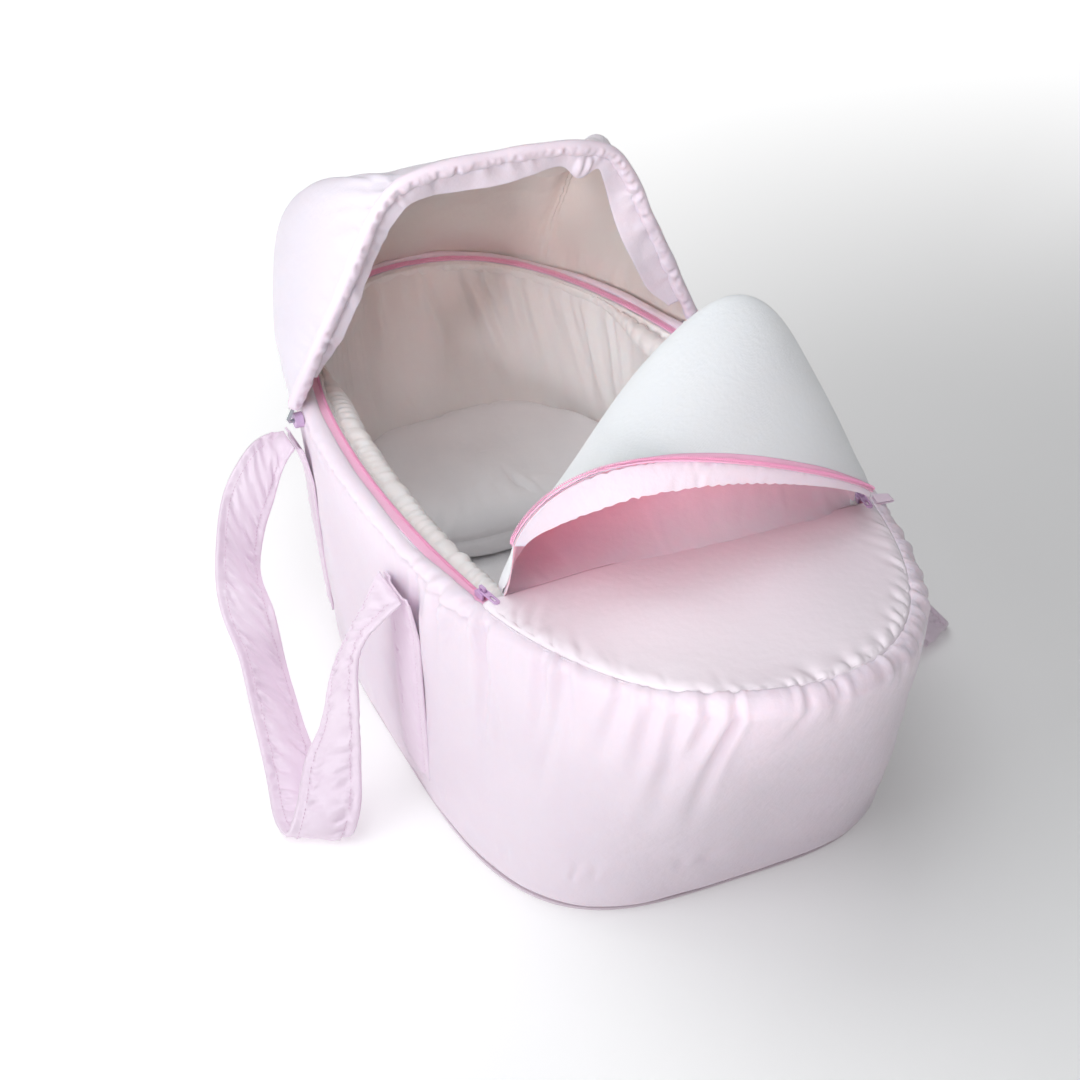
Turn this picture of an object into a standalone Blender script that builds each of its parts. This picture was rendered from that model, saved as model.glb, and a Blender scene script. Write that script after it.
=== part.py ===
"""Soft carry bassinet: a padded fabric basket with a folding hood, a zip-on cover and two strap handles.

Metres, +Z up. X is the basket's width and +Y points to the head end.
The origin is the middle of the flat base.
"""

import math

import bmesh
import bpy
import numpy as np
from mathutils import Vector

for old in list(bpy.data.objects):
    bpy.data.objects.remove(old, do_unlink=True)

# Basket outline
RIM_LENGTH = 0.820
RIM_WIDTH = 0.400
RIM_POWER = 2.3
BASE_LENGTH = 0.5414
BASE_TUCK = 0.01145
BASE_WIDTH = RIM_WIDTH - 2 * BASE_TUCK
BASE_POWER = 3.65
BASE_SHIFT = -0.0361
WALL_SWELL = 1.05

# Rim line: straight along the sides, with both ends lifting
RIM_HEIGHT = 0.2444
RIM_FALL = 0.02009
RIM_SLOPE = -RIM_FALL / RIM_LENGTH
FOOT_RISE = 0.0085
HEAD_RISE = 0.0085
FOOT_RISE_Y = -0.200
HEAD_RISE_Y = 0.150

# Layers of the wall, from outside to inside
SHOULDER = 0.012
COVER_THICK = 0.0025
PADDING_THICK = 0.020
LINER_THICK = 0.002
BASE_FABRIC_THICK = 0.003
BOARD_THICK = 0.0025
BOARD_INSET = 0.014
GAP = 0.0003
LAYER_GAP = 0.0005
GATHER_DEPTH = 0.0022
LINER_FOLD = 0.0012
WALL_SIDES = 60
WALL_SHARES = (0.10, 0.30, 0.60)
LINER_TOP_SHARE = 0.93

# Roll of gathered liner along the rim
ROLL_WIDTH = 0.025
ROLL_HEIGHT = 0.022
ROLL_DROP = 0.004
ROLL_SCALLOP = 0.0014
ROLL_SIDES = 7

# Rim zip
COIL_INSET = 0.0205
COIL_THICK = 0.0024
COIL_SIDES = 5
TAPE_WIDTH = 0.0092
TAPE_THICK = 0.0012
COVER_LINE_Y = -0.197

# Mattress and pillow
MATTRESS_THICK = 0.062
MATTRESS_CLEARANCE = 0.0035
MATTRESS_EDGE = 0.006
MATTRESS_CROWN = 0.003
MATTRESS_CROWN_RINGS = ((0.030, 0.6), (0.075, 1.0))
PILLOW_THICK = 0.060
PILLOW_Y = 0.170
PILLOW_FOOT = 0.075
PILLOW_POWER = 4.5
PILLOW_HEAD_STEPS = 20
PILLOW_FOOT_STEPS = 14
PILLOW_RINGS = ((0.020, 0), (0.006, 0.15), (0, 0.4), (0.001, 0.62), (0.010, 0.84), (0.035, 0.96), (0.07, 1))

# Foot cover and folded-back flap
FOOT_COVER_INSET = 0.0142
FOOT_COVER_EDGE = 0.0037
FOOT_COVER_CROWN = 0.007
FOOT_COVER_REAR_SWELL = 0.22
FOOT_COVER_TIP_ANGLE = 0.06
FOOT_COVER_ROWS = 9
FOOT_COVER_COLUMNS = 10
FLAP_HINGE_LIFT = 0.0028
FLAP_HINGE_CLEARANCE = 0.0033
FLAP_ROOT_TUCK = Vector((0, -0.0008, -0.0012))
FLAP_END_CREST = Vector((0, -0.0041, 0.0101))
FLAP_END_TIP = Vector((0, -0.0206, 0.0160))
FLAP_CREST_SHIFT = 0.0215
FLAP_SIDE_MARGIN = 0.048
FLAP_HALF_WIDTH = RIM_WIDTH / 2 - FLAP_SIDE_MARGIN
FLAP_FREE_HEIGHT = 0.1093
FLAP_FREE_REACH = 0.0161
FLAP_FREE_LEAN = 0.582
FLAP_FREE_FULLNESS = 0.728
FLAP_CREST_HEIGHT = 0.1661
FLAP_CREST_LEAN = 1.786
FLAP_CREST_BACK = 0.0857
FLAP_BACK_FULLNESS = 0.548
FLAP_CREST_SPREAD = 0.0241
FLAP_FREE_END_SHARE = 0.02
FLAP_CREST_END_SHARE = 0.025
FLAP_CROWDING = 0.06
FLAP_COLUMNS = 17
FLAP_ROWS = 12
FLAP_OUTER_THICK = 0.002
FLAP_LINING_THICK = 0.0022
FLAP_TAPE_ENDS = 0.004
PLACKET_DROP = 0.0235
PLACKET_ENDS = 0.0035
PLACKET_CURL = 0.35
PLACKET_THICK = 0.0022

# Hood
HOOD_PIVOT_Y = 0.160
HOOD_PIVOT_DROP = 0.0174
HOOD_PIVOT_Z = RIM_HEIGHT - HOOD_PIVOT_DROP
BOW_STAND_OFF = 0.0045
BOW_FOOT_X = RIM_WIDTH / 2 + BOW_STAND_OFF
BOW_TAPER = 0.096
BOW_TOP_HALF = RIM_WIDTH / 2 - BOW_TAPER
BOW_RISE = 0.1926
BOW_TOP_Z = RIM_HEIGHT + BOW_RISE
BOW_LEAN = -0.012
BOW_CORNER = 0.030
BOW_CROWN = 0.006
WIRE_THICK = 0.004
WIRE_CLEARANCE = 0.0003
WIRE_BEND = 0.0025
WIRE_SIDES = 6
BOW_STEPS = 26
SLEEVE_THICK = 0.0140
SLEEVE_START = 0.013
SLEEVE_SIDES = 8
SOCKET_RADIUS = 0.007
SOCKET_SIDES = 12
PIN_LENGTH = 0.010
CANOPY_THICK = 0.0022
LINING_THICK = 0.0015
ROOF_POWER = 1.29
SIDE_POWER = 3.08
GUSSET_START = 0.12
GUSSET_WIDTH = 0.20
CANOPY_BULGE = 0.0147
BULGE_LIFT = 0.0149
BULGE_PLACE = 0.311
BULGE_WIDTH = 0.210
BULGE_END = 0.08
ROOF_SAG = 0.004
HOOD_COLUMNS = 26
HOOD_ROWS = 7
HOOD_BACK_ANGLE = math.radians(60)
HOOD_BACK_SHARES = (0.0, 0.35, 0.5, 0.65, 1.0)
CANOPY_DROP = 0.014
CANOPY_SLACK = 0.019
SLACK_PLACE = 0.30
SLACK_WIDTH = 0.09
CANOPY_CLEARANCE = 0.0032
CANOPY_FRONT_GAP = 0.0022
LINING_GAP = 0.0009
FACING_WIDTH = 0.024
FACING_ENDS = 0.006
FACING_START = 0.055
FACING_LEAN = 0.12
FACING_STEPS = 26
FACING_THICK = 0.0015

# Strap handles
STRAP_THICK = 0.009
STRAP_EDGE_THICK = 0.0036
STRAP_FLAT_SHARE = 0.28
STRAP_STEPS = 38
STRAP_END = ((0.70, 0.75), (0.96, 0.35))
BAND_WIDTH = 0.056
BAND_THICK = 0.0024
BAND_FOOT_SHARE = 0.14
BAND_BEND_SHARE = 0.74
BAND_COLUMNS = 4
BAND_ROWS = 4
BAND_TOP_NEAR = (0.0068, 0.0022)
BAND_TOP_FAR = (0.0043, 0.0030)
RIGHT_SPLAY = (0.034, 0.028)
SPLAY_HEIGHT = 0.19
STRAP_RIM_HEIGHT = 0.2444

# Corner tab
TAB_LENGTH = 0.016
TAB_WIDTH = 0.012
TAB_THICK = 0.0028

# Zip sliders
SLIDER_LENGTH = 0.0105
SLIDER_WALL = 0.0015
SLIDER_SIDE_CLEARANCE = 0.0012
SLIDER_TOP_CLEARANCE = 0.0004
SLIDER_REST_Y = -0.186
BRIDGE_HEIGHT = 0.0042
BRIDGE_WIDTH = 0.0026
BRIDGE_THICK = 0.0011
PULL_LENGTH = 0.021
PULL_WIDTH = 0.0052
PULL_THICK = 0.0014
PULL_CLEARANCE = 0.0004
PULL_BAR = 0.0011
PULL_BAR_CLEARANCE = 0.00045
PULL_EYE_REACH = 0.0047
PULL_SLOT_MARGIN = 0.003
PULL_SLOT_LENGTH = 0.008

# Colours, linear RGB
SATIN = (0.83, 0.70, 0.80)
SATIN_SHADE = (0.74, 0.58, 0.72)
ZIP_PINK = (0.92, 0.42, 0.66)
IVORY = (0.85, 0.80, 0.78)
WHITE = (0.86, 0.88, 0.90)
LILAC = (0.68, 0.50, 0.70)
FOAM = (0.80, 0.78, 0.70)
BOARD = (0.45, 0.36, 0.26)
STEEL = (0.55, 0.56, 0.58)


def material(name, colour, roughness=0.6, metallic=0.0):
    """Principled material of one colour."""
    made = bpy.data.materials.new(name)
    made.use_nodes = True
    shader = made.node_tree.nodes["Principled BSDF"]
    shader.inputs["Base Color"].default_value = (*colour, 1.0)
    shader.inputs["Roughness"].default_value = roughness
    shader.inputs["Metallic"].default_value = metallic
    return made


def add_object(name, shape, colour, origin=(0, 0, 0), roughness=0.6, metallic=0.0):
    """Turn a bmesh into one object whose origin sits at the given point."""
    bmesh.ops.recalc_face_normals(shape, faces=shape.faces)
    bmesh.ops.translate(shape, verts=shape.verts, vec=-Vector(origin))
    mesh = bpy.data.meshes.new(name)
    shape.to_mesh(mesh)
    shape.free()
    mesh.shade_smooth()
    mesh.set_sharp_from_angle(angle=math.radians(40))
    made = bpy.data.objects.new(name, mesh)
    made.location = origin
    made.data.materials.append(material(name, colour, roughness, metallic))
    bpy.context.scene.collection.objects.link(made)
    return made


def skin(rings, closed_path=False):
    """Skin closed loops of points into one body, as a ring or with flat ends."""
    shape = bmesh.new()
    loops = [[shape.verts.new(point) for point in ring] for ring in rings]
    pairs = list(zip(loops, loops[1:]))
    if closed_path:
        pairs.append((loops[-1], loops[0]))
    for low, high in pairs:
        if low[0].co.z > high[0].co.z:
            low, high = high, low
        for i in range(len(low)):
            k = (i + 1) % len(low)
            shape.faces.new((low[i], low[k], high[k]))
            shape.faces.new((low[i], high[k], high[i]))
    if not closed_path:
        shape.faces.new(loops[0])
        shape.faces.new(loops[-1])
    return shape


def panel(front, back):
    """Close two matching grids of points into one thin body."""
    shape = bmesh.new()
    grids = [[[shape.verts.new(point) for point in row] for row in grid] for grid in (front, back)]
    rows, columns = len(front), len(front[0])
    for grid in grids:
        for i in range(rows - 1):
            for k in range(columns - 1):
                shape.faces.new((grid[i][k], grid[i + 1][k], grid[i + 1][k + 1]))
                shape.faces.new((grid[i][k], grid[i + 1][k + 1], grid[i][k + 1]))
    edge = [(i, 0) for i in range(rows)]
    edge += [(rows - 1, k) for k in range(1, columns)]
    edge += [(i, columns - 1) for i in range(rows - 2, -1, -1)]
    edge += [(0, k) for k in range(columns - 2, 0, -1)]
    for (a, b), (c, d) in zip(edge, edge[1:] + edge[:1]):
        shape.faces.new((grids[0][a][b], grids[0][c][d], grids[1][c][d], grids[1][a][b]))
    return shape


def mix(a, b, share):
    return a + (b - a) * share


def arch(share):
    """Half sine wave: nothing at both ends and one in the middle."""
    return max(0.0, math.sin(math.pi * share))


def power_wave(value, power):
    return math.copysign(abs(value) ** (2 / power), value)


def rim_height(y):
    """Height of the rim line at y."""
    height = RIM_HEIGHT + RIM_SLOPE * y
    end = RIM_LENGTH / 2
    if y < FOOT_RISE_Y:
        height += FOOT_RISE * ((FOOT_RISE_Y - y) / (end + FOOT_RISE_Y)) ** 2
    if y > HEAD_RISE_Y:
        height += HEAD_RISE * ((y - HEAD_RISE_Y) / (end - HEAD_RISE_Y)) ** 2
    return height


def outline(angle, share, inset):
    """Plan position on the wall at a share of its height, an inset inside its outer face."""
    swell = share**WALL_SWELL
    half_width = mix(BASE_WIDTH, RIM_WIDTH, swell) / 2 - inset
    half_length = mix(BASE_LENGTH, RIM_LENGTH, swell) / 2 - inset
    power = mix(BASE_POWER, RIM_POWER, swell)
    x = half_width * power_wave(math.cos(angle), power)
    y = mix(BASE_SHIFT, 0, swell) + half_length * power_wave(math.sin(angle), power)
    return x, y


def wall_point(angle, share, inset, lift=0.0):
    """Point in the wall below its shoulder."""
    x, y = outline(angle, share, inset)
    lowest = RIM_HEIGHT - SHOULDER
    z = share * mix(lowest, rim_height(y) - SHOULDER, share)
    return Vector((x, y, z + lift))


def rim_point(angle, inset, drop):
    """Point of the rim, an inset inside the wall's outer face and a drop below the rim line."""
    x, y = outline(angle, 1.0, inset)
    return Vector((x, y, rim_height(y) - drop))


def roll_point(angle, inset, drop):
    """Point beside the top of the wall, following its lean below the shoulder."""
    share = min(1.0, 1 - (drop - SHOULDER) / (RIM_HEIGHT - SHOULDER))
    x, y = outline(angle, share, inset)
    return Vector((x, y, rim_height(y) - drop))


def share_at(height):
    """Share of the wall's height that lies at a small height over the base."""
    return height / (RIM_HEIGHT - SHOULDER)


def even_angles(count):
    """Angles that divide the rim into equal lengths."""
    fine = np.linspace(0, math.tau, 4001)
    points = np.array([outline(a, 1.0, 0) for a in fine])
    length = np.concatenate([[0], np.cumsum(np.linalg.norm(np.diff(points, axis=0), axis=1))])
    return list(np.interp(np.linspace(0, length[-1], count + 1)[:-1], length, fine))


def side_angle(y, inset, share=1.0):
    """Angle on the right-hand side at which an inset outline reaches y, on the rim if no share is given."""
    fine = np.linspace(-math.pi / 2, math.pi / 2, 4001)
    return float(np.interp(y, [outline(a, share, inset)[1] for a in fine], fine))


def smooth_route(points, count):
    """Even samples of a smooth curve through the given points."""
    source = np.array([tuple(p) for p in points], dtype=float)
    steps = np.linalg.norm(np.diff(source, axis=0), axis=1)
    along = np.concatenate([[0], np.cumsum(np.sqrt(steps))])
    slopes = np.gradient(source, along, axis=0)
    out = []
    for value in np.linspace(0, along[-1], count):
        i = min(int(np.searchsorted(along, value, side="right")) - 1, len(source) - 2)
        span = along[i + 1] - along[i]
        t = (value - along[i]) / span
        point = (2 * t**3 - 3 * t**2 + 1) * source[i] + (3 * t**2 - 2 * t**3) * source[i + 1]
        point += span * ((t**3 - 2 * t**2 + t) * slopes[i] + (t**3 - t**2) * slopes[i + 1])
        out.append(Vector(point))
    return out


ANGLES = even_angles(WALL_SIDES)
FABRIC_TOP = BASE_FABRIC_THICK + GAP
BOARD_TOP = FABRIC_TOP + BOARD_THICK
COVER_FOOT_SHARE = share_at(FABRIC_TOP)
PADDING_FOOT_SHARE = share_at(BOARD_TOP + LAYER_GAP)
PADDING_INSET = COVER_THICK + LAYER_GAP
LINER_INSET = PADDING_INSET + PADDING_THICK + LAYER_GAP
LINER_INNER = LINER_INSET + LINER_THICK
INNER_SHARES = (PADDING_FOOT_SHARE, *WALL_SHARES, LINER_TOP_SHARE)


def gather(index, share):
    """Outward swell of the shell's folds, deepest under the foot cover's seam."""
    y = outline(ANGLES[index], 1.0, 0)[1]
    reach = min(1.0, max(0.0, (COVER_LINE_Y - y) / 0.08))
    return GATHER_DEPTH * reach * share**2 * (index % 2)


def base_fabric():
    rings = [[wall_point(a, 0, 0, z) for a in ANGLES] for z in (0, BASE_FABRIC_THICK)]
    add_object("base_fabric", skin(rings), SATIN_SHADE)


def base_board():
    rings = [[wall_point(a, 0, BOARD_INSET, z) for a in ANGLES] for z in (FABRIC_TOP, BOARD_TOP)]
    add_object("base_board", skin(rings), BOARD, roughness=0.8)


def shoulder_rings(depth):
    """Rings that round a face over the top of the wall to the zip tape, at a depth in the wall."""
    rings = []
    for turn in (45, 90):
        across = SHOULDER * (1 - math.cos(math.radians(turn)))
        down = SHOULDER * (1 - math.sin(math.radians(turn)))
        bend = math.radians(turn)
        in_by = across + depth * math.cos(bend)
        drop = down + depth * math.sin(bend)
        rings.append([rim_point(a, in_by, drop) for a in ANGLES])
    return rings


def outer_cover():
    outer = []
    for share in (COVER_FOOT_SHARE, *WALL_SHARES, 0.85, 1.0):
        outer.append([wall_point(a, share, -gather(i, share)) for i, a in enumerate(ANGLES)])
    shares = (COVER_FOOT_SHARE, *INNER_SHARES, 1.0)
    inner = [[wall_point(a, share, COVER_THICK) for a in ANGLES] for share in shares]
    rings = outer + shoulder_rings(0) + shoulder_rings(COVER_THICK)[::-1] + inner[::-1]
    add_object("outer_cover", skin(rings, closed_path=True), SATIN)


def wall_padding():
    outer = [[wall_point(a, s, PADDING_INSET) for a in ANGLES] for s in (*INNER_SHARES, 1.0)]
    inner_inset = PADDING_INSET + PADDING_THICK
    inner = [[wall_point(a, s, inner_inset) for a in ANGLES] for s in (*INNER_SHARES, 1.0)]
    top = [[rim_point(a, inner_inset, PADDING_INSET) for a in ANGLES]]
    rings = outer + shoulder_rings(PADDING_INSET) + top + inner[::-1]
    add_object("wall_padding", skin(rings, closed_path=True), FOAM, roughness=0.9)


def inner_liner():
    floor_share = share_at(BOARD_TOP + LAYER_GAP + LINER_THICK)
    outer = [[wall_point(a, s, LINER_INSET) for a in ANGLES] for s in INNER_SHARES]
    inner = []
    for share in (floor_share, *WALL_SHARES, LINER_TOP_SHARE):
        depth = LINER_FOLD if share >= WALL_SHARES[0] else 0
        insets = [LINER_INNER + depth * (i % 2) for i in range(WALL_SIDES)]
        inner.append([wall_point(a, share, inset) for a, inset in zip(ANGLES, insets)])
    add_object("inner_liner", skin(outer + inner[::-1]), IVORY)


def liner_roll():
    """Puffy gathered roll over the top of the liner, scalloped along its length."""
    middle = LINER_INSET + LAYER_GAP + ROLL_WIDTH / 2
    rings = []
    for side in range(ROLL_SIDES):
        turn = math.tau * side / ROLL_SIDES
        ring = []
        for i, angle in enumerate(ANGLES):
            puff = ROLL_SCALLOP * (i % 2)
            inset = middle - (ROLL_WIDTH / 2 - puff / 2) * math.cos(turn)
            drop = ROLL_DROP + ROLL_HEIGHT / 2 - (ROLL_HEIGHT / 2 - puff) * math.sin(turn)
            ring.append(roll_point(angle, inset, drop))
        rings.append(ring)
    add_object("liner_roll", skin(rings, closed_path=True), IVORY)


def circle_through(a, b, c):
    """Centre and radius of the circle through three plane points."""
    rows = np.array([[b[0] - a[0], b[1] - a[1]], [c[0] - a[0], c[1] - a[1]]])
    sums = np.array([p[0] ** 2 - a[0] ** 2 + p[1] ** 2 - a[1] ** 2 for p in (b, c)])
    centre = np.linalg.solve(2 * rows, sums)
    return centre, float(np.hypot(*(centre - np.array(a))))


SLOPE_STRETCH = math.hypot(1, RIM_SLOPE)
SIDE_MIDDLE_Y = (COVER_LINE_Y + HEAD_RISE_Y) / 2
TAPE_TOP_DROP = PADDING_INSET - GAP - TAPE_THICK


def side_arc():
    """Centre and radius of the right side's zip line, in the plane of the side rim."""
    points = []
    for y in (COVER_LINE_Y, SIDE_MIDDLE_Y, HEAD_RISE_Y):
        x = outline(side_angle(y, COIL_INSET), 1.0, COIL_INSET)[0]
        points.append((x, y * SLOPE_STRETCH))
    return circle_through(*points)


ARC_CENTRE, ARC_RADIUS = side_arc()


def side_zip_frame(y, side):
    """Point, outward and forward directions of the zip line on one side of the basket."""
    along = y * SLOPE_STRETCH - ARC_CENTRE[1]
    across = math.sqrt(ARC_RADIUS**2 - along**2)
    point = Vector((side * (ARC_CENTRE[0] + across), y, RIM_HEIGHT + RIM_SLOPE * y))
    down_side = Vector((0, 1, RIM_SLOPE)) / SLOPE_STRETCH
    outward = Vector((side * across, 0, 0)) / ARC_RADIUS + down_side * (along / ARC_RADIUS)
    forward = Vector((-side * along, 0, 0)) / ARC_RADIUS + down_side * (across / ARC_RADIUS)
    return point, outward, forward


def zip_frames(side_steps=12, head_steps=22):
    """Points and outward directions of the zip line, from the left corner round the head to the right."""
    ys = [mix(COVER_LINE_Y, HEAD_RISE_Y, i / side_steps) for i in range(side_steps + 1)]
    left = [side_zip_frame(y, -1)[:2] for y in ys]
    right = [side_zip_frame(y, 1)[:2] for y in reversed(ys)]
    start = side_angle(HEAD_RISE_Y, COIL_INSET)
    head = []
    for i in range(1, head_steps):
        angle = mix(math.pi - start, start, i / head_steps)
        point = rim_point(angle, COIL_INSET, 0)
        outward = rim_point(angle, 0, 0) - rim_point(angle, 2 * COIL_INSET, 0)
        outward.z = 0
        head.append((point, outward.normalized()))
    return left + head + right


UP_FROM_SIDE = Vector((0, -RIM_SLOPE, 1)) / SLOPE_STRETCH


def rim_zip_tape():
    outer = TAPE_WIDTH - COIL_THICK / 2 - LAYER_GAP
    inner = -COIL_THICK / 2 - LAYER_GAP
    low = -TAPE_TOP_DROP - TAPE_THICK
    rings = []
    for point, outward in zip_frames():
        corners = ((inner, low), (outer, low), (outer, -TAPE_TOP_DROP), (inner, -TAPE_TOP_DROP))
        rings.append([point + outward * across + UP_FROM_SIDE * lift for across, lift in corners])
    add_object("rim_zip_tape", skin(rings), ZIP_PINK)


def coil_ring(middle, across, up):
    """Section of a zip coil round its middle."""
    turns = [math.tau * (side + 0.25) / COIL_SIDES for side in range(COIL_SIDES)]
    return [middle + (across * math.cos(t) + up * math.sin(t)) * (COIL_THICK / 2) for t in turns]


def rim_zip_coil():
    lift = GAP + COIL_THICK / 2 - TAPE_TOP_DROP
    up = UP_FROM_SIDE
    rings = [coil_ring(point + up * lift, outward, up) for point, outward in zip_frames()]
    add_object("rim_zip_coil", skin(rings), ZIP_PINK, roughness=0.4)


def mattress():
    """Padded mattress that fills the floor of the basket; returns the height of its crown."""
    bottom = BOARD_TOP + LAYER_GAP + LINER_THICK + LAYER_GAP
    top = bottom + MATTRESS_THICK
    inset = LINER_INNER + LINER_FOLD + MATTRESS_CLEARANCE
    rings = []
    for tuck, height in (
        (MATTRESS_EDGE / 2, bottom),
        (0, bottom + MATTRESS_EDGE),
        (0, (bottom + top) / 2),
        (MATTRESS_EDGE / 3, top - MATTRESS_EDGE),
        (MATTRESS_EDGE, top),
    ):
        rings.append([wall_point(a, share_at(height), inset + tuck) for a in ANGLES[::2]])
    for tuck, rise in MATTRESS_CROWN_RINGS:
        crown = rise * MATTRESS_CROWN
        rings.append([wall_point(a, share_at(top), inset + tuck, crown) for a in ANGLES[::2]])
    add_object("mattress", skin(rings), WHITE, roughness=0.8)
    return top + MATTRESS_CROWN


def pillow(bed):
    """Thick crowned pillow that fills the head end, round at the head and square at the foot side."""
    inset = LINER_INNER + LINER_FOLD + MATTRESS_CLEARANCE
    rings = []
    for tuck, rise in PILLOW_RINGS:
        z = bed + GAP + rise * PILLOW_THICK
        share = share_at(z)
        start = side_angle(PILLOW_Y, inset + tuck, share)
        ring = []
        for step in range(PILLOW_HEAD_STEPS + 1):
            angle = mix(start, math.pi - start, step / PILLOW_HEAD_STEPS)
            ring.append(Vector((*outline(angle, share, inset + tuck), z)))
        half_width = ring[0].x
        for step in range(1, PILLOW_FOOT_STEPS):
            turn = math.pi * (1 + step / PILLOW_FOOT_STEPS)
            x = half_width * power_wave(math.cos(turn), PILLOW_POWER)
            y = PILLOW_Y + (PILLOW_FOOT - tuck) * power_wave(math.sin(turn), PILLOW_POWER)
            ring.append(Vector((x, y, z)))
        rings.append(ring)
    add_object("pillow", skin(rings), WHITE, roughness=0.8)


def foot_cover():
    """Crowned panel sewn over the foot end, with a straight rear edge under the flap."""
    start = side_angle(COVER_LINE_Y - FLAP_HINGE_CLEARANCE, FOOT_COVER_INSET)
    top, low = [], []
    for i in range(FOOT_COVER_ROWS + 1):
        reach = i / FOOT_COVER_ROWS
        angle = mix(start, FOOT_COVER_TIP_ANGLE - math.pi / 2, reach)
        half, y = outline(angle, 1.0, FOOT_COVER_INSET)
        base = rim_height(y) - PADDING_INSET + GAP + LAYER_GAP
        swell = FOOT_COVER_CROWN * arch(mix(FOOT_COVER_REAR_SWELL, 1, reach))
        top_row, low_row = [], []
        for k in range(FOOT_COVER_COLUMNS + 1):
            across = -math.cos(math.pi * k / FOOT_COVER_COLUMNS)
            low_row.append(Vector((across * half, y, base)))
            top_row.append(Vector((across * half, y, base + FOOT_COVER_EDGE + swell * (1 - across**2))))
        top.append(top_row)
        low.append(low_row)
    add_object("foot_cover", panel(top, low), SATIN)


HINGE_Z = RIM_HEIGHT + RIM_SLOPE * COVER_LINE_Y + FLAP_HINGE_LIFT
FLAP_HINGE = Vector((0, COVER_LINE_Y, HINGE_Z))
FLAP_THICK = FLAP_OUTER_THICK + GAP + FLAP_LINING_THICK


def flap_frame(across):
    """Root, crest and free edge of the folded-back flap at a share of its width.

    The free edge is highest left of the middle and the crest right of it, as the cloth was thrown back.
    """
    x = mix(-FLAP_HALF_WIDTH, FLAP_HALF_WIDTH, across)
    swell = arch(across)
    free = arch(mix(FLAP_FREE_END_SHARE, 1 - FLAP_FREE_END_SHARE, across) ** FLAP_FREE_LEAN)
    free = free**FLAP_FREE_FULLNESS
    peak = arch(mix(FLAP_CREST_END_SHARE, 1 - FLAP_CREST_END_SHARE, across) ** FLAP_CREST_LEAN)
    root = FLAP_HINGE + FLAP_ROOT_TUCK
    crest = FLAP_HINGE + FLAP_END_CREST
    crest += Vector((FLAP_CREST_SHIFT * swell, FLAP_CREST_BACK * swell**FLAP_BACK_FULLNESS, 0))
    crest.z += (FLAP_CREST_HEIGHT - FLAP_END_CREST.z) * peak
    tip = FLAP_HINGE + FLAP_END_TIP + Vector((0, -FLAP_FREE_REACH * swell, 0))
    tip.z += (FLAP_FREE_HEIGHT - FLAP_END_TIP.z) * free
    return [point + Vector((x, 0, 0)) for point in (root, crest, tip)]


def flap_section(across, steps):
    """Points down the middle of the fold from the hinge line over the crest to the free edge."""
    root, top, tip = flap_frame(across)
    total = (8 * top - root - tip) / 3
    size = (tip - root).length
    spread = Vector((0, -1, 0)) * min(FLAP_CREST_SPREAD, 0.55 * size)
    first, second = (total - spread) / 2, (total + spread) / 2
    out = []
    for i in range(steps + 1):
        t = i / steps
        t = t + FLAP_CROWDING * math.sin(math.tau * t)
        u = 1 - t
        out.append(u**3 * root + 3 * u**2 * t * first + 3 * u * t**2 * second + t**3 * tip)
    return out


def grid_normals(grid, upper_row):
    """Unit normals of a grid of points, turned so that they point up in the middle of one row."""
    points = np.array([[tuple(p) for p in row] for row in grid])
    cross = np.cross(np.gradient(points, axis=0), np.gradient(points, axis=1))
    cross /= np.linalg.norm(cross, axis=2, keepdims=True)
    if cross[len(grid) // 2][upper_row][2] < 0:
        cross = -cross
    return [[Vector(n) for n in row] for row in cross]


def offset_grid(grid, normals, distance):
    return [[p + n * distance for p, n in zip(row, normal_row)] for row, normal_row in zip(grid, normals)]


def flap_grid():
    return [flap_section(i / FLAP_COLUMNS, FLAP_ROWS) for i in range(FLAP_COLUMNS + 1)]


def flap_fabric(grid, normals):
    """Satin face inside the fold and the lining outside it."""
    half = FLAP_THICK / 2
    inner = offset_grid(grid, normals, -half)
    middle = offset_grid(grid, normals, -half + FLAP_OUTER_THICK)
    add_object("flap_outer", panel(inner, middle), SATIN, FLAP_HINGE)
    start = offset_grid(grid, normals, half - FLAP_LINING_THICK)
    outer = offset_grid(grid, normals, half)
    add_object("flap_lining", panel(start, outer), WHITE, FLAP_HINGE, roughness=0.85)


def flap_edge_parts(grid, normals):
    """Half zip on the lining along the free edge, and the placket band that hangs from it."""
    face = FLAP_THICK / 2 + GAP + LAYER_GAP
    tape_rings, coil_rings, placket_rings = [], [], []
    for i, (row, normal_row) in enumerate(zip(grid, normals)):
        edge, normal = row[-1], normal_row[-1]
        down = (row[-1] - row[-2]).normalized()
        swell = arch(i / FLAP_COLUMNS)
        tape = mix(FLAP_TAPE_ENDS, TAPE_WIDTH, swell**0.5)
        corners = ((-tape, 0), (0, 0), (0, TAPE_THICK), (-tape, TAPE_THICK))
        tape_rings.append([edge + down * along + normal * (face + lift) for along, lift in corners])
        middle = edge - down * COIL_THICK / 2 + normal * (face + TAPE_THICK + GAP + COIL_THICK / 2)
        coil_rings.append(coil_ring(middle, down, normal))
        drop = mix(PLACKET_ENDS, PLACKET_DROP, swell**0.6)
        curl = (down - normal * PLACKET_CURL).normalized()
        start = edge + down * LAYER_GAP
        half = PLACKET_THICK / 2
        hem, face_out = start + curl * drop, normal * half
        placket_rings.append([start - face_out, start + face_out, hem + face_out, hem - face_out])
    add_object("flap_zip_tape", skin(tape_rings), ZIP_PINK, FLAP_HINGE)
    add_object("flap_zip_coil", skin(coil_rings), ZIP_PINK, FLAP_HINGE, roughness=0.4)
    add_object("flap_placket", skin(placket_rings), SATIN, FLAP_HINGE)


HOOD_PIVOT = Vector((0, HOOD_PIVOT_Y, HOOD_PIVOT_Z))


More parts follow.
